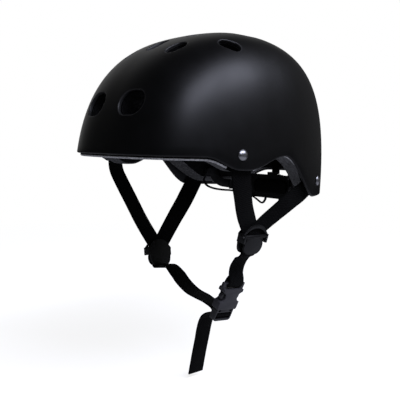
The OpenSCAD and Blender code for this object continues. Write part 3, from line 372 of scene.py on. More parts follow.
def makeBeadGroup():
    # expanded bead foam: packed cells with dark seams, each bead its own shade
    tree, given, out = newGroup("packedBeads", {"Bead": 0.0034}, ("Height", "Seams", "Shade"))
    place = objectPlace(tree)
    scale = maths(tree, "DIVIDE", 1.0, given.outputs["Bead"])
    beads = cells(tree, "F1", place, scale)
    seam = remap(tree, cells(tree, "DISTANCE_TO_EDGE", place, scale).outputs[0], 0.0, 0.09)
    bulge = maths(tree, "SUBTRACT", 1.0, maths(tree, "POWER", beads.outputs["Distance"], 2.0))
    tint = node(tree, "ShaderNodeSeparateColor", n0=beads.outputs["Color"]).outputs[0]
    give(tree, out, Seams=seam, Shade=tint,
         Height=times(tree, bulge, plus(tree, times(tree, seam, 0.4), 0.6)))
    return tree


def makeKnitGroup():
    # knitted pad cover: small open loops in staggered rows, darker in their sunken middles as
    # painted shade, with random tone
    tree, given, out = newGroup("knitCoverWithPaintedShade", {"Loop": 0.0013}, ("Height", "Shade"))
    place = objectPlace(tree)
    scale = maths(tree, "DIVIDE", 1.0, given.outputs["Loop"])
    loops = cells(tree, "SMOOTH_F1", place, scale, Randomness=0.35).outputs["Distance"]
    give(tree, out, Height=loops,
         Shade=plus(tree, times(tree, loops, 0.6),
                    times(tree, noise(tree, place, 70.0, 3.0), 0.4)))
    return tree


grainGroup = makeGrainGroup()
clothKinds = {
    "woven": {"group": makeWeaveGroup(), "rough": 0.8, "sheen": 0.01, "sheenRough": 0.5,
              "specular": 0.06, "depth": 0.00035, "strength": 0.8},
    "knitted": {"group": makeKnitGroup(), "rough": 0.9, "sheen": 0.01, "sheenRough": 0.4,
                "specular": 0.05, "depth": 0.0005, "strength": 0.7},
}
beadGroup = makeBeadGroup()
grainMake = {"scuffShine": -0.08, "strength": 0.5, "metalDepth": 0.00002, "metalStrength": 0.3}
beadMake = {"rough": (0.5, 0.75), "depth": 0.0005, "strength": 0.7, "specular": 0.12}


def newMaterial(name, look):
    material = bpy.data.materials.new(name)
    material.use_nodes = True
    tree = material.node_tree
    tree.nodes.clear()
    out = tree.nodes.new("ShaderNodeOutputMaterial")
    surface = tree.nodes.new("ShaderNodeBsdfPrincipled")
    tree.links.new(surface.outputs[0], out.inputs["Surface"])
    for socket, value in look.items():
        surface.inputs[socket].default_value = value
    return material, tree, surface


def colourBy(tree, surface, mask, dark, light):
    blend = node(tree, "ShaderNodeMix", {"data_type": "RGBA"})
    tree.links.new(mask, blend.inputs[0])
    blend.inputs[6].default_value = (*dark, 1)
    blend.inputs[7].default_value = (*light, 1)
    tree.links.new(blend.outputs[2], surface.inputs["Base Color"])


def bumpBy(tree, surface, height, distance, strength):
    made = node(tree, "ShaderNodeBump", Strength=strength, Distance=distance, Height=height)
    give(tree, surface, Normal=made.outputs[0])


def useGroup(tree, group, **values):
    made = tree.nodes.new("ShaderNodeGroup")
    made.node_tree = group
    for key, value in values.items():
        made.inputs[key].default_value = value
    return made


def plastic(name, dark, light, rough, fineness, depth, specular=0.5):
    material, tree, surface = newMaterial(name, {"Specular IOR Level": specular})
    grain = useGroup(tree, grainGroup, Fineness=fineness)
    colourBy(tree, surface, grain.outputs["Patches"], dark, light)
    worn = plus(tree, remap(tree, grain.outputs["Patches"], 0, 1, *rough),
                times(tree, grain.outputs["Scuffs"], grainMake["scuffShine"]))
    give(tree, surface, Roughness=worn)
    bumpBy(tree, surface, grain.outputs["Height"], depth, grainMake["strength"])
    return material


def bareMetal(name, dark, light, rough, fineness):
    material, tree, surface = newMaterial(name, {"Metallic": 1.0})
    grain = useGroup(tree, grainGroup, Fineness=fineness)
    colourBy(tree, surface, grain.outputs["Patches"], dark, light)
    give(tree, surface, Roughness=remap(tree, grain.outputs["Scuffs"], 0, 1, *rough))
    bumpBy(tree, surface, grain.outputs["Height"], grainMake["metalDepth"],
           grainMake["metalStrength"])
    return material


def cloth(name, kind, dark, light):
    make = clothKinds[kind]
    material, tree, surface = newMaterial(name, {
        "Roughness": make["rough"], "Sheen Weight": make["sheen"],
        "Sheen Roughness": make["sheenRough"], "Specular IOR Level": make["specular"]})
    threads = useGroup(tree, make["group"])
    # the threads' Shade runs the colour from painted shade in their hollows to painted light on
    # their raised parts, with some random tone
    colourBy(tree, surface, threads.outputs["Shade"], dark, light)
    bumpBy(tree, surface, threads.outputs["Height"], make["depth"], make["strength"])
    return material


def beadFoam(name, dark, light):
    material, tree, surface = newMaterial(name, {"Specular IOR Level": beadMake["specular"]})
    beads = useGroup(tree, beadGroup)
    tone = times(tree, beads.outputs["Seams"],
                 plus(tree, times(tree, beads.outputs["Shade"], 0.5), 0.5))
    colourBy(tree, surface, tone, dark, light)
    give(tree, surface, Roughness=remap(tree, beads.outputs["Shade"], 0, 1, *beadMake["rough"]))
    bumpBy(tree, surface, beads.outputs["Height"], beadMake["depth"], beadMake["strength"])
    return material


# darkest and lightest colour, range of roughness, fineness and depth of the grain
finishes = {
    "shell": plastic("matteShellPaint", (0.0012, 0.0012, 0.0013), (0.0018, 0.0018, 0.002),
                     (0.36, 0.41), 1500, 0.000012, specular=0.28),
    # the vents' cut walls: paler partly as bare unpainted plastic and partly as painted light for
    # the lit crescents along the brow vents
    "shellCut": plastic("shellCutEdgeBareAndPaintedLight", (0.008, 0.008, 0.0083), (0.015, 0.015, 0.0154),
                        (0.4, 0.5), 2400, 0.00002),
    # one bead foam in three tones: painted deep shade on the liner's skins, painted light on the
    # outer corner of its edge, milder painted shade on the rest of the edge
    "foam": beadFoam("beadFoamSkinPaintedDeepShade", (0.0008, 0.0008, 0.0009), (0.0034, 0.0034, 0.0036)),
    "foamCornerPaintedLight": beadFoam("beadFoamCornerPaintedLight", (0.3, 0.3, 0.305), (0.72, 0.72, 0.73)),
    "foamEdge": beadFoam("beadFoamEdgePaintedShade", (0.025, 0.025, 0.0255), (0.13, 0.13, 0.133)),
    "padding": cloth("knitPadBlack", "knitted", (0.0015, 0.0015, 0.0016),
                     (0.005, 0.005, 0.0052)),
    "hook": cloth("hookFastener", "knitted", (0.002, 0.002, 0.0022), (0.008, 0.008, 0.0084)),
    "webbing": cloth("nylonWebbing", "woven", (0.0003, 0.0003, 0.0003),
                     (0.0075, 0.0075, 0.0077)),
    "divider": plastic("dividerMoulding", (0.0016, 0.0016, 0.0017), (0.003, 0.003, 0.0031),
                       (0.4, 0.5), 2400, 0.00003, specular=0.3),
    "knob": plastic("leverMoulding", (0.004, 0.004, 0.0042), (0.0065, 0.0065, 0.0068),
                    (0.4, 0.5), 2400, 0.00003, specular=0.4),
    "socket": plastic("socketMoulding", (0.02, 0.019, 0.023), (0.03, 0.029, 0.034),
                      (0.34, 0.46), 2400, 0.00003),
    "plug": plastic("plugMoulding", (0.012, 0.012, 0.013), (0.018, 0.018, 0.02),
                    (0.36, 0.48), 2400, 0.00003),
    "fit": plastic("fitMoulding", (0.0014, 0.0014, 0.0015), (0.0026, 0.0026, 0.0027),
                   (0.4, 0.5), 2600, 0.00003, specular=0.3),
    "rivet": bareMetal("polishedRivet", (0.3, 0.3, 0.31), (0.42, 0.42, 0.43), (0.34, 0.46), 3000),
    "screw": bareMetal("screwSteel", (0.38, 0.39, 0.4), (0.5, 0.5, 0.52), (0.25, 0.4), 3000),
}
print("materials ready")

# The camera as it was fitted to the photograph: degrees and millimetres, focal length in pixels
view = {
    "azimuth": 48.566, "elevation": 5.466, "roll": -1.342, "distance": 602.8, "focal": 579.4,
    "lookAt": (0, -13.2, -48.78), "frame": 400, "sensor": 36, "clip": (0.01, 30),
}


def addCamera():
    a, e, r = view["azimuth"], view["elevation"], view["roll"]
    back = Vector((sinD(a) * cosD(e), -cosD(a) * cosD(e), sinD(e)))
    right = Vector((cosD(a), sinD(a), 0))
    up = back.cross(right)
    turnedRight = right * cosD(r) - up * sinD(r)
    turnedUp = right * sinD(r) + up * cosD(r)
    data = bpy.data.cameras.new("camera")
    data.sensor_width = view["sensor"]
    data.lens = view["focal"] / view["frame"] * view["sensor"]
    data.clip_start, data.clip_end = view["clip"]
    camera = linked("camera", data)
    place = (Vector(view["lookAt"]) + back * view["distance"]) * mm
    axes = Matrix((turnedRight, turnedUp, back)).transposed().to_4x4()
    camera.matrix_world = Matrix.Translation(place) @ axes
    bpy.context.scene.camera = camera


addCamera()
print("camera ready")

# Shell: one smooth skin with a rolled rim, cut by chamfered vents
shellMake = {"columns": 288, "rows": 44, "roll": 8, "crowding": 1.3, "thin": 0.9, "smooth": 40}
ventMake = {
    "steps": 48, "chamfer": 1.1, "chamferSteps": 6, "flare": 0.4, "inside": -34, "skim": 3,
    "outside": 14, "look": 40, "flat": 0.0001,
}
# bearing, share of the height, length, width and turn; all but the last have a mirrored twin
vents = [
    (-77, 0.37, 31, 24, 0), (63.3, 0.4, 27, 21, 0), (-66, 0.645, 21, 14, 55),
    (-33, 0.55, 21, 14, -29), (-64.8, 0.818, 21, 14, 70), (-4, 0.735, 25, 14, 0),
    (-90, 0.72, 25, 14, 90),
]
frontRivet = (-28.4, 0.107)
rearRivet = (33.6, 0.043)


def skinProfile(outer, inner, outerEdge, innerEdge, rows, roll, corner):
    # for one bearing: points from the crown down the outside, round the rim and up the inside
    fall = Vector((0, 0, -corner))

    def skin(a, edge, inset):
        start = shareAt(a, edge(a) + corner, inset)
        return [insetPoint(a, mix(start, 1, 1 - (i / rows) ** shellMake["crowding"]), inset)
                for i in range(rows + 1)]

    def profile(a):
        down = skin(a, outerEdge, outer)
        up = skin(a, innerEdge, inner)[::-1]
        first, last = down[-1], up[0]
        inward = last - first
        side = inward.normalized()
        edge = []
        for i in range(1, roll):
            if corner * 2 >= inward.length * shellMake["thin"]:  # one round rim will do
                turn = 180 * i / roll
                edge.append(first + inward * (1 - cosD(turn)) / 2 + fall * sinD(turn))
            elif i <= roll // 2:  # else rounded corners with a flat between
                turn = 90 * i / (roll // 2)
                edge.append(first + side * corner * (1 - cosD(turn)) + fall * sinD(turn))
            else:
                turn = 90 * (roll - i) / (roll - roll // 2)
                edge.append(last - side * corner * (1 - cosD(turn)) + fall * sinD(turn))
        return down + edge + up
    return profile


def skinPiece(name, columns, profile):
    lines = [profile(360 * j / columns) for j in range(columns)]
    count = len(lines[0]) - 1

    def place(u, v):
        return lines[round(u * columns) % columns][round(v * count)]
    return gridPiece(name, columns, count, place)


def ventCutter(name, vent, narrower, chamfer, mirror):
    bearing, share, length, width, turn = vent
    centre = domePoint(bearing, share)
    n = domeNormal(bearing, share)
    side = tangentAt((bearing, share))
    longway = side * cosD(turn) + n.cross(side) * sinD(turn)
    crossway = n.cross(longway)
    radius = (width - narrower) / 2
    reach = (length - width) / 2
    steps = ventMake["steps"]

    def spot(i, grow):
        # two half circles, their centres set apart along the long way
        c, s = cosD(360 * (i % steps) / steps), sinD(360 * (i % steps) / steps)
        shift = math.copysign(reach, c) if abs(c) > ventMake["flat"] else 0
        return longway * (shift + (radius + grow) * c) + crossway * (radius + grow) * s

    def rise(offset):
        # how far the dome stands above the vent's own plane
        start = (centre + offset + n * ventMake["look"]) * mm
        hit = domeTree.ray_cast(start, -n)[0]
        return (hit / mm - centre - offset).dot(n) if hit else 0
    flared = chamfer + ventMake["flare"]
    rings = [(ventMake["inside"], 0, False)]
    if chamfer:
        for k in range(ventMake["chamferSteps"] + 1):
            turned = 90 * k / ventMake["chamferSteps"]
            rings.append((-chamfer * (1 - sinD(turned)), chamfer * (1 - cosD(turned)), True))
        rings.append((ventMake["skim"], flared, True))
    rings.append((ventMake["outside"], flared, False))

    def place(u, v):
        depth, grow, follows = rings[min(round(v * (len(rings) - 1)), len(rings) - 1)]
        offset = spot(round(u * steps), grow)
        point = centre + offset + n * (depth + (rise(offset) if follows else 0))
        return mirrored(point) if mirror else point
    return gridPiece(name, steps, len(rings) - 1, place, fillEnds=True)


def cutVents(piece, narrower, chamfer, wall):
    # wall is the number of the material that the cut faces get
    cutters = []
    for index, vent in enumerate(vents):
        cutters.append(ventCutter(f"cutter{index}", vent, narrower, chamfer, False))
        if vent is not vents[-1]:
            cutters.append(ventCutter(f"cutter{index}m", vent, narrower, chamfer, True))
    cutter = join("ventCutters", cutters)
    for material in piece.data.materials:
        cutter.data.materials.append(material)
    for polygon in cutter.data.polygons:
        polygon.material_index = wall
    cut(piece, [cutter])


shell = skinPiece("shellSkin", shellMake["columns"],
                  skinProfile(0, dome["wall"], shellEdge, shellEdge, shellMake["rows"],
                              shellMake["roll"], dome["wall"] / 2))
domeTree = BVHTree.FromObject(shell, bpy.context.evaluated_depsgraph_get())
shell.data.materials.append(finishes["shell"])
shell.data.materials.append(finishes["shellCut"])
cutVents(shell, 0, ventMake["chamfer"], 1)
smooth(shell, shellMake["smooth"])
dress(shell, None, nodes=["outer_shell"])
print("shell ready")

# Foam liner, with a pocket behind each rivet
linerMake = {
    "columns": 200, "rows": 34, "roll": 8, "corner": 1.6, "ventNarrower": 2, "smooth": 34,
    "pocketDepth": 11.15, "pocketDown": 60, "pocketUp": 14, "pocketOut": 6, "pocketRound": 1.5,
}
pockets = {"frontPocket": (frontRivet, 14, 14), "rearPocket": (rearRivet, 40, 18)}


def paintLinerLightAndShade(piece, finishNames):
    # one bead foam in lit and shaded tones: the first finish is for the skins, darkened with
    # painted shade, the second for the outer corner of the edge, lightened with painted light,
    # the third for the rest of the edge, with milder painted shade
    for finishName in finishNames:
        piece.data.materials.append(finishes[finishName])
    rows, roll = linerMake["rows"], linerMake["roll"]
    count = 2 * rows + roll
    layer = piece.data.uv_layers.active.data
    for polygon in piece.data.polygons:
        middle = sum(layer[i].uv.y for i in polygon.loop_indices) / len(polygon.loop_indices)
        row = int(middle * count)
        if rows <= row < count - rows:
            polygon.material_index = 1 if row < rows + roll // 2 else 2
        else:
            polygon.material_index = 0


def pocketCutter(name, place, forward, rearward, mirror):
    n = domeNormal(*place)
    side = tangentAt(place)
    upward = n.cross(side)
    deselect()
    bpy.ops.mesh.primitive_cube_add(size=1)
    box = bpy.context.object
    box.name = name
    low = Vector((-forward, -linerMake["pocketDown"], -linerMake["pocketDepth"]))
    high = Vector((rearward, linerMake["pocketUp"], linerMake["pocketOut"]))
    for vertex in box.data.vertices:
        p = Vector([mix(low[k], high[k], vertex.co[k] + 0.5) for k in range(3)])
        point = domePoint(*place) + side * p.x + upward * p.y + n * p.z
        vertex.co = (mirrored(point) if mirror else point) * mm
    outward(box, weld["made"])
    useModifier(box, "BEVEL", width=linerMake["pocketRound"] * mm, segments=2)
    return box


liner = skinPiece("foamLining", linerMake["columns"],
                  skinProfile(foam["outer"], foam["inner"], foamOuterEdge, foamInnerEdge,
                              linerMake["rows"], linerMake["roll"], linerMake["corner"]))
paintLinerLightAndShade(liner, ("foam", "foamCornerPaintedLight", "foamEdge"))
cutVents(liner, linerMake["ventNarrower"], 0, 0)
for mirror in (False, True):
    cut(liner, [pocketCutter(name, *pocket, mirror) for name, pocket in pockets.items()])
smooth(liner, linerMake["smooth"])
dress(liner, None, nodes=["foam_liner"])
print("liner ready")

# Webbing, swept along the routes of the part's source
strapMake = {
    "width": 20, "thickness": 1.6, "steps": 8, "rounding": 0.45, "cornerSteps": 3, "smooth": 50,
    "behindShell": 1.6, "seat": 0.2, "chinSlack": 0.3,
    # side shift and level at a divider's mouth, in its neck and at the strap's end
    "intoDivider": ((7.8, 12.6), (1.6, 4), (1.6, -3)),
}
buckleMake = {
    "bar": 3.2, "barBase": -2.6, "barGap": 0.5, "slotSpare": 1.6, "plugTop": -30,
    "plugBack": -3.6, "windowTop": 3.3, "windowBase": 10.8, "ladderHalf": 1,
}
# origin, tilt, lean and turn of each fitting's own frame; the right one is then mirrored
pieceFrames = {
    "left": (Vector((71.8, -11.4, -78.8)), -3, 13, 3),
    "right": (Vector((71.8, -9.8, -115.2)), -8, 15, -9),
    "buckle": (Vector((50.4, -10, -126.2)), -7, 20.5, 0),
}


def turnedIn(which, p):
    origin, tilt, lean, turn = pieceFrames[which]
    spin = (Matrix.Rotation(math.radians(turn), 3, "Z")
            @ Matrix.Rotation(math.radians(lean), 3, "Y")
            @ Euler((math.radians(tilt), 0, 0)).to_matrix())
    made = spin @ Vector(p)
    return mirrored(made) if which == "right" else made


def placedIn(which, p):
    origin = pieceFrames[which][0]
    return (mirrored(origin) if which == "right" else origin) + turnedIn(which, p)


def smoothedPath(points, steps):
    path = []
    last = len(points) - 1
    for i in range(last):
        b, c = points[i], points[i + 1]
        tb = (points[i + 1] - points[max(i - 1, 0)]).normalized()
        tc = (points[min(i + 2, last)] - points[i]).normalized()
        reach = (c - b).length
        for k in range(steps):
            t = k / steps
            path.append((2 * t ** 3 - 3 * t * t + 1) * b + (3 * t * t - 2 * t ** 3) * c
                        + reach * ((t ** 3 - 2 * t * t + t) * tb + (t ** 3 - t * t) * tc))
    return path + [points[last]]


def sideAt(sides, w):
    k = w * (len(sides) - 1)
    i = min(int(k), len(sides) - 2)
    return Vector(sides[i]).lerp(Vector(sides[i + 1]), k - i)


def sweptRings(points, sides, steps):
    path = smoothedPath([Vector(p) for p in points], steps)
    last = len(path) - 1
    rings = []
    run = 0
    for i, point in enumerate(path):
        ahead = (path[min(i + 1, last)] - path[max(i - 1, 0)]).normalized()
        wish = sideAt(sides, i / last)
        side = (wish - wish.dot(ahead) * ahead).normalized()
        run += (point - path[i - 1]).length if i else 0
        rings.append((point, side, ahead.cross(side), run))
    return rings


def flatSection(width, thickness, rounding):
    w, t = width / 2 - rounding, thickness / 2 - rounding
    steps = strapMake["cornerSteps"]
    section = []
    for x, y, start in ((w, t, 0), (-w, t, 90), (-w, -t, 180), (w, -t, 270)):
        for k in range(steps + 1):
            angle = start + 90 * k / steps
            section.append((x + rounding * cosD(angle), y + rounding * sinD(angle)))
    return section


def sweptPiece(name, rings, section):
    count = len(section)
    last = len(rings) - 1

    def place(u, v):
        point, side, face, run = rings[round(v * last)]
        x, y = section[round(u * count) % count]
        return point + side * x + face * y

    def measure(u, v):
        return section[round(u * count) % count][0] * mm, rings[round(v * last)][3] * mm
    piece = gridPiece(name, count, last, place, measure, fillEnds=True)
    smooth(piece, strapMake["smooth"])
    return piece


def sideWishes(start, mouthWish, end, between):
    middle = [Vector(start).lerp(Vector(mouthWish), k / (between + 1))
              for k in range(1, between + 1)]
    return [start] * 3 + middle + [mouthWish, end, end]


def intoDivider(which, depth, way):
    return [placedIn(which, (depth, way * shift, level))
            for shift, level in strapMake["intoDivider"]]


thickness = strapMake["thickness"]
strapDepth = dome["wall"] + strapMake["behindShell"] + thickness / 2
firstLayer = strapMake["seat"] + thickness / 2
secondLayer = firstLayer + thickness + 2 * strapMake["seat"]
chinLayer = firstLayer + strapMake["chinSlack"]
mouthSide = {"front": (0, 0.76, 0.65), "rear": (0, 0.76, -0.65)}
fore = Vector((0, 1, 0))
leftAcross, rightAcross, buckleAcross = [turnedIn(which, fore) for which in pieceFrames]
frontStart = [nearDome(frontRivet, 0, 9, strapDepth), nearDome(frontRivet, 0, 0, strapDepth)]
rearStart = [nearDome(rearRivet, 7, 4, strapDepth), nearDome(rearRivet, 0, 0, strapDepth)]
rearWish = nearDome(rearRivet, 0.28, -0.96, 0) - nearDome(rearRivet, 0, 0, 0)
wrap = buckleMake["bar"] / 2 + thickness / 2 + buckleMake["barGap"]
slotMiddle = buckleMake["barBase"] - (thickness + buckleMake["slotSpare"]) / 2
plugBack = buckleMake["plugBack"]
windowTop = buckleMake["plugTop"] - buckleMake["windowTop"]
windowBase = buckleMake["plugTop"] - buckleMake["windowBase"]
windowMiddle = (windowTop + windowBase) / 2
upperSlot = (windowTop + windowMiddle + buckleMake["ladderHalf"]) / 2
lowerSlot = (windowBase + windowMiddle - buckleMake["ladderHalf"]) / 2

# for each piece: its node, its body, the points of its route and the side its width lies along
straps = {
    "frontStrapLeft": (
        "front_strap_left", "helmet",
        frontStart + [nearDome(frontRivet, 2, -12, strapDepth), (95.2, -49.6, -21),
                      (91.1, -43.6, -31.5), (84.6, -33.3, -50)]
        + intoDivider("left", firstLayer + 0.1, -1),
        sideWishes(tangentAt(frontRivet), turnedIn("left", mouthSide["front"]), leftAcross, 3)),
    "frontStrapRight": (
        "front_strap_right", "helmet",
        [mirrored(p) for p in frontStart]
        + [mirrored(nearDome(frontRivet, -1, -12, strapDepth)), (-95.6, -53.6, -22),
           (-92.8, -49.6, -33), (-87.5, -39.6, -55), (-81.9, -28.6, -79)]
        + intoDivider("right", firstLayer, -1),
        sideWishes(mirrored(tangentAt(frontRivet)), turnedIn("right", mouthSide["front"]),
                   rightAcross, 4)),
    "rearStrapLeft": (
        "rear_strap_left", "helmet",
        rearStart + [nearDome(rearRivet, -12.5, -3.6, strapDepth), (93.6, 34.6, -35.4),
                     (92.2, 26.4, -40.4), (89.4, 17.8, -47), (84.4, 9.6, -55)]
        + intoDivider("left", secondLayer, 1),
        sideWishes(rearWish, turnedIn("left", mouthSide["rear"]), leftAcross, 4)),
    "rearStrapRight": (
        "rear_strap_right", "helmet",
        [mirrored(nearDome(rearRivet, 3, 7, strapDepth)), mirrored(rearStart[1]),
         mirrored(nearDome(rearRivet, -5, -12, strapDepth)), (-89.8, 46.6, -50),
         (-86.4, 35.6, -62), (-82, 19, -79)]
        + intoDivider("right", secondLayer, 1),
        sideWishes(mirrored(tangentAt(rearRivet)), turnedIn("right", mouthSide["rear"]),
                   rightAcross, 3)),
    "chinStrapLeft": (
        "chin_strap_left", "helmet",
        [placedIn("left", (chinLayer, 0, -4.4)), placedIn("left", (chinLayer, 0, -16)),
         (60, -10, -100.6), (54.4, -10, -108.6), (52.6, -10, -116.4)]
        + [placedIn("buckle", p) for p in (
            (1.6, 0, 4), (wrap, 0, 0.6), (wrap - 0.2, 0, slotMiddle + 1.4),
            (0.9, 0, slotMiddle), (-0.9, 0, slotMiddle), (-wrap + 0.2, 0, slotMiddle + 1.4),
            (-wrap, 0, 0.6), (-1.6, 0, 6))],
        [leftAcross] * 3 + [buckleAcross] * 10),
    "chinStrapRight": (
        "chin_strap_right", None,
        [placedIn("right", (chinLayer, 0, -4.4)), placedIn("right", (chinLayer + 0.4, 0, -16.6)),
         (-54, -10, -126.6), (-38.6, -10, -133.6), (-27, -10.6, -141), (-10, -11.6, -147.6),
         (6.6, -12.6, -149.8), (20, -13.6, -152),
         placedIn("buckle", (plugBack - 5, 0, upperSlot + 1)),
         placedIn("buckle", (plugBack - 1, 0, upperSlot))],
        [rightAcross] * 3 + [fore] * 4 + [buckleAcross] * 3),
    "strapTail": (
        "strap_tail", "plug",
        [placedIn("buckle", p) for p in (
            (plugBack - 0.6, 0, upperSlot), (-0.8, 0, upperSlot), (1.9, 0, upperSlot - 0.9),
            (2.6, 0, windowMiddle), (1.9, 0, lowerSlot + 0.9), (-0.8, 0, lowerSlot + 0.1),
            (plugBack - 2, 0, lowerSlot + 0.6))]
        + [(21, -14, -164), (14.4, -13, -171), (9, -11.4, -182), (5.2, -10, -193),
           (0.6, -10, -212.4), (-4.4, -10, -236)],
        [buckleAcross] * 7 + [fore] * 6),
}
strapSection = flatSection(strapMake["width"], thickness, strapMake["rounding"])
for name, (source, body, points, sides) in straps.items():
    piece = sweptPiece(name, sweptRings(points, sides, strapMake["steps"]), strapSection)
    dress(piece, finishes["webbing"], body, [source])
    if body is None:
        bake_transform(piece)
print("webbing ready")

# Hard pieces: the CAD shape with its edges broken
hardMake = {"flat": 0.6, "segments": 2, "sharp": 40, "smooth": 35}
leverDisc = {
    "across": 13.4, "down": 8.6, "middle": -6.6, "border": (0.9, 1.06), "fineness": 2400,
    "dark": (0.0008, 0.0008, 0.0009), "light": (0.0085, 0.0085, 0.0088), "rough": (0.5, 0.4),
    "patches": (0.85, 1.0), "specular": 0.25, "depth": 0.00003,
}


def mergeFlat(piece):
    pick(piece)
    bpy.ops.object.mode_set(mode="EDIT")
    bpy.ops.mesh.select_all(action="SELECT")
    bpy.ops.mesh.remove_doubles(threshold=weld["cad"])
    bpy.ops.mesh.select_all(action="SELECT")
    bpy.ops.mesh.dissolve_limited(angle_limit=math.radians(hardMake["flat"]))
    bpy.ops.object.mode_set(mode="OBJECT")


def softened(name, source, width, finish, slotName, body):
    piece = linked(name, cadNodes[source].data.copy())
    mergeFlat(piece)
    if width:
        useModifier(piece, "BEVEL", width=width * mm, segments=hardMake["segments"],
                    limit_method="ANGLE", angle_limit=math.radians(hardMake["sharp"]))
    smooth(piece, hardMake["smooth"])
    dress(piece, finishes[finish], body, [source])


def leverFinish(which):
    # the plate is a paler disc below a dark hinge, set out in the divider's own frame
    material, tree, surface = newMaterial(f"leverMoulding{which.title()}",
                                          {"Specular IOR Level": leverDisc["specular"]})
    spin = Matrix([turnedIn(which, axis) for axis in ((1, 0, 0), (0, 1, 0), (0, 0, 1))])
    flip = 1
    if which == "right":
        spin = Matrix([mirrored(row) for row in spin])
        flip = -1
    local = node(tree, "ShaderNodeMapping", Vector=objectPlace(tree),
                 Location=-(spin @ pieceFrames[which][0]) * mm, Rotation=spin.to_euler(),
                 Scale=(flip, 1, 1)).outputs[0]
    parts = node(tree, "ShaderNodeSeparateXYZ", n0=local)
    below = maths(tree, "SUBTRACT", parts.outputs[2], leverDisc["middle"] * mm)
    y = maths(tree, "DIVIDE", parts.outputs[1], leverDisc["across"] * mm)
    z = maths(tree, "DIVIDE", below, leverDisc["down"] * mm)
    away = plus(tree, times(tree, y, y), times(tree, z, z))
    grain = useGroup(tree, grainGroup, Fineness=leverDisc["fineness"])
    mask = times(tree, remap(tree, away, *leverDisc["border"], 1.0, 0.0),
                 remap(tree, grain.outputs["Patches"], 0, 1, *leverDisc["patches"]))
    colourBy(tree, surface, mask, leverDisc["dark"], leverDisc["light"])
    give(tree, surface,
         Roughness=remap(tree, grain.outputs["Scuffs"], 0, 1, *leverDisc["rough"]))
    bumpBy(tree, surface, grain.outputs["Height"], leverDisc["depth"], grainMake["strength"])
    return material


finishes["leverLeft"] = leverFinish("left")
finishes["leverRight"] = leverFinish("right")
# name, node, width of the broken edge in millimetres, finish, slot and body
hardPieces = [
    ("dividerLeft", "divider_base_left", 0.35, "divider", "divider_plastic", "helmet"),
    ("dividerRight", "divider_base_right", 0.35, "divider", "divider_plastic", "helmet"),
    ("leverLeft", "divider_lever_left", 0.4, "leverLeft", "lever_plastic", "lever_left"),
    ("leverRight", "divider_lever_right", 0.4, "leverRight", "lever_plastic", "lever_right"),
    ("pinLeft", "divider_pin_left", 0.1, "screw", "screw_steel", "helmet"),
    ("pinRight", "divider_pin_right", 0.1, "screw", "screw_steel", "helmet"),
    ("buckleSocket", "buckle_socket", 0.5, "socket", "buckle_plastic", "helmet"),
    ("bucklePlug", "buckle_plug", 0.4, "plug", "buckle_plastic", "plug"),
    ("prongFront", "release_prong_front", 0.4, "plug", "buckle_plastic", "prong_front"),
    ("prongRear", "release_prong_rear", 0.4, "plug", "buckle_plastic", "prong_rear"),
    ("rearCradle", "rear_cradle", 0.0, "fit", "fit_plastic", "helmet"),
    ("cradleCover", "cradle_cover", 0.4, "fit", "fit_plastic", "helmet"),
    ("dialKnob", "dial_knob", 0.25, "knob", "fit_plastic", "dial"),
    ("rivets", "strap_rivets", 0.12, "rivet", "rivet_steel", "helmet"),
    ("washers", "rivet_washers", 0.12, "screw", "screw_steel", "helmet"),
    ("coverScrews", "cover_screws", 0.06, "screw", "screw_steel", "helmet"),
    ("dialScrew", "dial_screw", 0.06, "screw", "screw_steel", "dial"),
]
for hardPiece in hardPieces:
    softened(*hardPiece)
# CAD solids that show as they are, with the finish they get
plainPieces = {
    "dial_pinion": "fit", "rack_left": "fit", "rack_right": "fit", "band_anchors": "fit",
    "pad_hook_dots": "hook",
}
for source, finish in plainPieces.items():
    smooth(cadNodes[source], hardMake["smooth"])
    for plainSlot in cadNodes[source].material_slots:
        plainSlot.material = finishes[finish]
print("hard pieces ready")

# Pads: swelled covers with sewn channels, sizes in metres
padMake = {
    "voxel": 0.003, "shrink": 0.0006, "cap": 0.0016, "channel": 0.0022, "seam": 0.0016,
    "heart": (0, 0.0075, 0.02), "least": 0.01, "smooth": 180,
}
swellMake = {"pressure": 4, "frames": 20, "stiffness": 30, "quality": 5}


def swell(piece):
    start = [v.co.copy() for v in piece.data.vertices]
    scene = bpy.context.scene
    pick(piece)
    modifier = piece.modifiers.new("Cloth", "CLOTH")
    modifier.settings.use_pressure = True
    modifier.settings.uniform_pressure_force = swellMake["pressure"]
    modifier.settings.effector_weights.gravity = 0
    modifier.settings.tension_stiffness = swellMake["stiffness"]
    modifier.settings.compression_stiffness = swellMake["stiffness"]
    modifier.settings.quality = swellMake["quality"]
    modifier.point_cache.frame_start = 1
    modifier.point_cache.frame_end = swellMake["frames"]
    for step in range(1, swellMake["frames"] + 1):
        scene.frame_set(step)
    swollen = piece.evaluated_get(bpy.context.evaluated_depsgraph_get())
    ended = [v.co.copy() for v in swollen.data.vertices]
    piece.modifiers.remove(modifier)
    scene.frame_set(1)
    for vertex, before, after in zip(piece.data.vertices, start, ended):
        move = after - before
        if move.length > padMake["cap"]:
            move = move.normalized() * padMake["cap"]
        vertex.co = before + move


def sewn(piece, channels):
    # draws the inner face outwards, away from the head, along each sewn line
    piece.data.update()
    for vertex in piece.data.vertices:
        p = vertex.co
        depth = 0
        for channel in channels:
            depth = max(depth, math.exp(-(channel(p) / padMake["seam"]) ** 2))
        toHeart = Vector(padMake["heart"]) - p
        if depth > padMake["least"] and vertex.normal.dot(toHeart) > 0:
            vertex.co = p - toHeart.normalized() * padMake["channel"] * depth


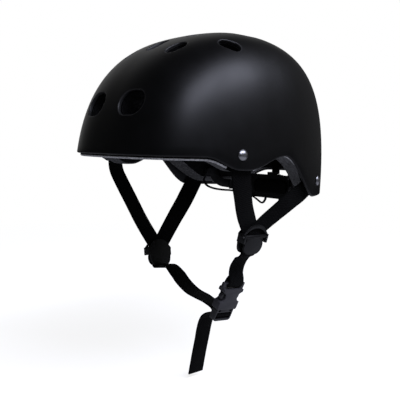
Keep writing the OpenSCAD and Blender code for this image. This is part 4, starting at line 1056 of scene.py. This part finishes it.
def padPiece(name, source, channels, fill):
    piece = linked(name, cadNodes[source].data.copy())
    outward(piece, weld["cad"])
    useModifier(piece, "DISPLACE", strength=-padMake["shrink"], mid_level=0)
    useModifier(piece, "REMESH", mode="VOXEL", voxel_size=padMake["voxel"])
    swell(piece)
    useModifier(piece, "SUBSURF", levels=1, render_levels=1)
    sewn(piece, channels)
    smooth(piece, padMake["smooth"])
    dress(piece, finishes["padding"], "helmet", [source])


def bearingLine(bearing):
    # distance from a line that runs out from the middle on one bearing only
    line = Vector((cosD(bearing), sinD(bearing), 0))
    across = Vector((-line.y, line.x, 0))

    def distance(p):
        flat = Vector((p.x, p.y, 0))
        return abs(flat.dot(across)) if flat.dot(line) > 0 else 1
    return distance


def planLine(bearing):
    across = Vector((-sinD(bearing), cosD(bearing), 0))
    return lambda p: abs(Vector((p.x, p.y - padMake["heart"][1], 0)).dot(across))


# the sewn lines part the brow pad into five pillows and the rear pad into three
pads = [
    ("browPad", "brow_pad",
     [bearingLine(-90 + 52 * k / 5 * 2) for k in (-1.5, -0.5, 0.5, 1.5)], 0.6),
    ("rearPad", "rear_pad", [bearingLine(90 + 32 * k / 3) for k in (-1, 1)], 0.6),
    ("sidePadLeft", "side_pad_left", [bearingLine(-4)], 0.6),
    ("sidePadRight", "side_pad_right", [bearingLine(184)], 0.6),
    ("crownPad", "crown_pad", [planLine(0), planLine(90)], 0.6),
    ("cradlePad", "cradle_pad", [], 0.7),
]
for pad in pads:
    padPiece(*pad)
print("pads ready")

# Fit bands, from the racks in the tray to the anchors behind the ears
bandMake = {
    "width": 10, "thickness": 1.4, "rounding": 0.35, "steps": 6, "level": -38, "radius": 54,
    "wing": 1.8, "wingStart": 34, "wingGap": 0.3, "back": 95, "rackGap": 0.25, "rackDepth": 2,
    "anchor": (38, -22), "anchorGap": 1.5,
    # way out and shift in the tray, the right band's lane to the mouth of the tray,
    # turn and lift round the wing, and shift, rise and added depth at the anchor
    "tray": ((26.2, 0), (31, 0.2)), "laneBend": 34.6, "laneEnd": (37.8, 97.4), "wingOn": 40,
    "onWing": ((46, 0), (52, 0), (60, 0.4), (68, 1.2), (76, 3)),
    "atAnchor": ((8.1, -7.4, 1.2), (6, -2, 0.5), (0, 0, 0), (-4, 1, 0)),
}


def bandPiece(name, mirror, startY):
    level = bandMake["level"]
    half = bandMake["thickness"] / 2
    wingStart = math.degrees(math.asin(bandMake["wingStart"] / bandMake["radius"]))
    middle = bandMake["back"] + bandMake["wing"] / 2 - bandMake["radius"] * cosD(wingStart)
    radius = bandMake["radius"] + bandMake["wing"] + bandMake["wingGap"] + half
    bearing, height = bandMake["anchor"]
    anchor = (bearing, shareAt(bearing, height))
    depth = foam["inner"] + bandMake["anchorGap"] + half
    upThere = nearDome(anchor, 0, 1, 0) - nearDome(anchor, 0, 0, 0)

    def onBand(turn, lift):
        return radius * sinD(turn), middle + radius * cosD(turn), level + lift
    points = [(x, startY + shift, level) for x, shift in bandMake["tray"]]
    if mirror:
        points += [(bandMake["laneBend"], startY, level), (*bandMake["laneEnd"], level)]
    else:
        points.append(onBand(bandMake["wingOn"], 0))
    points += [onBand(*p) for p in bandMake["onWing"]]
    points += [nearDome(anchor, x, y, depth + more) for x, y, more in bandMake["atAnchor"]]
    upright = Vector((0, 0, 1))
    tilted = [upright.lerp(upThere, k / 3) for k in (1, 2)] + [upThere] * 4
    sides = [upright] * (len(points) - len(tilted)) + tilted
    if mirror:
        points = [mirrored(p) for p in points]
        sides = [mirrored(s) for s in sides]
    section = flatSection(bandMake["width"], bandMake["thickness"], bandMake["rounding"])
    return sweptPiece(name, sweptRings(points, sides, bandMake["steps"]), section)


leftLane = (bandMake["back"] + bandMake["wing"] + bandMake["rackGap"]
            + bandMake["rackDepth"] / 2)
rightLane = leftLane + bandMake["rackDepth"] + bandMake["rackGap"]
for side, mirror, startY in (("left", False, leftLane), ("right", True, rightLane)):
    band = bandPiece(f"fitBand{side.title()}", mirror, startY)
    dress(band, finishes["fit"], None, [f"fit_band_{side}"])
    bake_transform(band)
print("fit bands ready")

# Stage: sizes in metres; lift is what the camera adds to the painted floor
floorMake = {
    "level": -0.242, "reach": 6, "corners": 96, "paint": 0.5, "rough": 0.9, "lift": 0.79,
    "near": 0.5, "far": 1.3,
}
worldMake = {
    "fill": 0.15, "mirror": 0.03,
    "glows": (((-0.853, 0.454, 0.259), 0.78, 0.98, 0.45), ((0.5, 0.86, 0.09), 0.4, 0.95, 0.1)),
}
keyMake = {
    "place": (1.18, 0.02, 1.33), "target": (0.03, -0.03, 0.02), "size": (2.4, 0.55),
    "power": 43, "colour": (0.8, 0.83, 1.0),
}


def addFloor():
    deselect()
    bpy.ops.mesh.primitive_circle_add(vertices=floorMake["corners"], radius=floorMake["reach"],
                                      fill_type="NGON", location=(0, 0, floorMake["level"]))
    floor = bpy.context.object
    floor.name = "paleFloor"
    pick(floor)
    bpy.ops.object.transform_apply(location=True)
    material, tree, surface = newMaterial("paleFloorPaint", {"Roughness": floorMake["rough"],
                                                             "Specular IOR Level": 0.0})
    # painted and lit near the object, plain white further out, where no horizon may show
    away = node(tree, "ShaderNodeVectorMath", {"operation": "LENGTH"}, n0=objectPlace(tree))
    far = remap(tree, away.outputs["Value"], floorMake["near"], floorMake["far"])
    colourBy(tree, surface, far, [floorMake["paint"]] * 3, (0, 0, 0))
    seen = tree.nodes.new("ShaderNodeLightPath").outputs["Is Camera Ray"]
    lift = node(tree, "ShaderNodeEmission", Color=(1, 1, 1, 1),
                Strength=times(tree, seen, remap(tree, far, 0.0, 1.0, floorMake["lift"], 1.0)))
    both = node(tree, "ShaderNodeAddShader", n0=surface.outputs[0], n1=lift.outputs[0])
    give(tree, tree.nodes["Material Output"], Surface=both.outputs[0])
    floor.data.materials.append(material)


def addWorld():
    # the camera sees white, matt surfaces a plain fill, mirrors a dark room with two soft glows
    world = bpy.data.worlds.new("studio")
    bpy.context.scene.world = world
    world.use_nodes = True
    tree = world.node_tree
    tree.nodes.clear()
    rays = tree.nodes.new("ShaderNodeLightPath").outputs
    way = tree.nodes.new("ShaderNodeTexCoord").outputs["Generated"]
    mirrorView = worldMake["mirror"]
    for toward, start, end, level in worldMake["glows"]:
        facing = node(tree, "ShaderNodeVectorMath", {"operation": "DOT_PRODUCT"}, n0=way,
                      n1=toward).outputs["Value"]
        mirrorView = plus(tree, remap(tree, facing, start, end, 0.0, level), mirrorView)
    polished = maths(tree, "MAXIMUM", rays["Is Glossy Ray"], rays["Is Transmission Ray"])
    extra = maths(tree, "SUBTRACT", mirrorView, worldMake["fill"])
    filled = plus(tree, worldMake["fill"], times(tree, polished, extra))
    background = node(tree, "ShaderNodeBackground", Color=(1, 1, 1, 1),
                      Strength=maths(tree, "MAXIMUM", rays["Is Camera Ray"], filled))
    out = tree.nodes.new("ShaderNodeOutputWorld")
    give(tree, out, Surface=background.outputs[0])


def addLamp(name, make):
    data = bpy.data.lights.new(name, "AREA")
    data.shape = "RECTANGLE"
    data.size, data.size_y = make["size"]
    data.energy = make["power"]
    data.color = make["colour"]
    lamp = linked(name, data)
    lamp.location = make["place"]
    lamp.rotation_mode = "QUATERNION"
    toward = Vector(make["target"]) - Vector(make["place"])
    lamp.rotation_quaternion = toward.to_track_quat("-Z", "Y")


addFloor()
addWorld()
addLamp("keySoftbox", keyMake)
bpy.context.scene.view_settings.view_transform = "Standard"
print("stage ready")
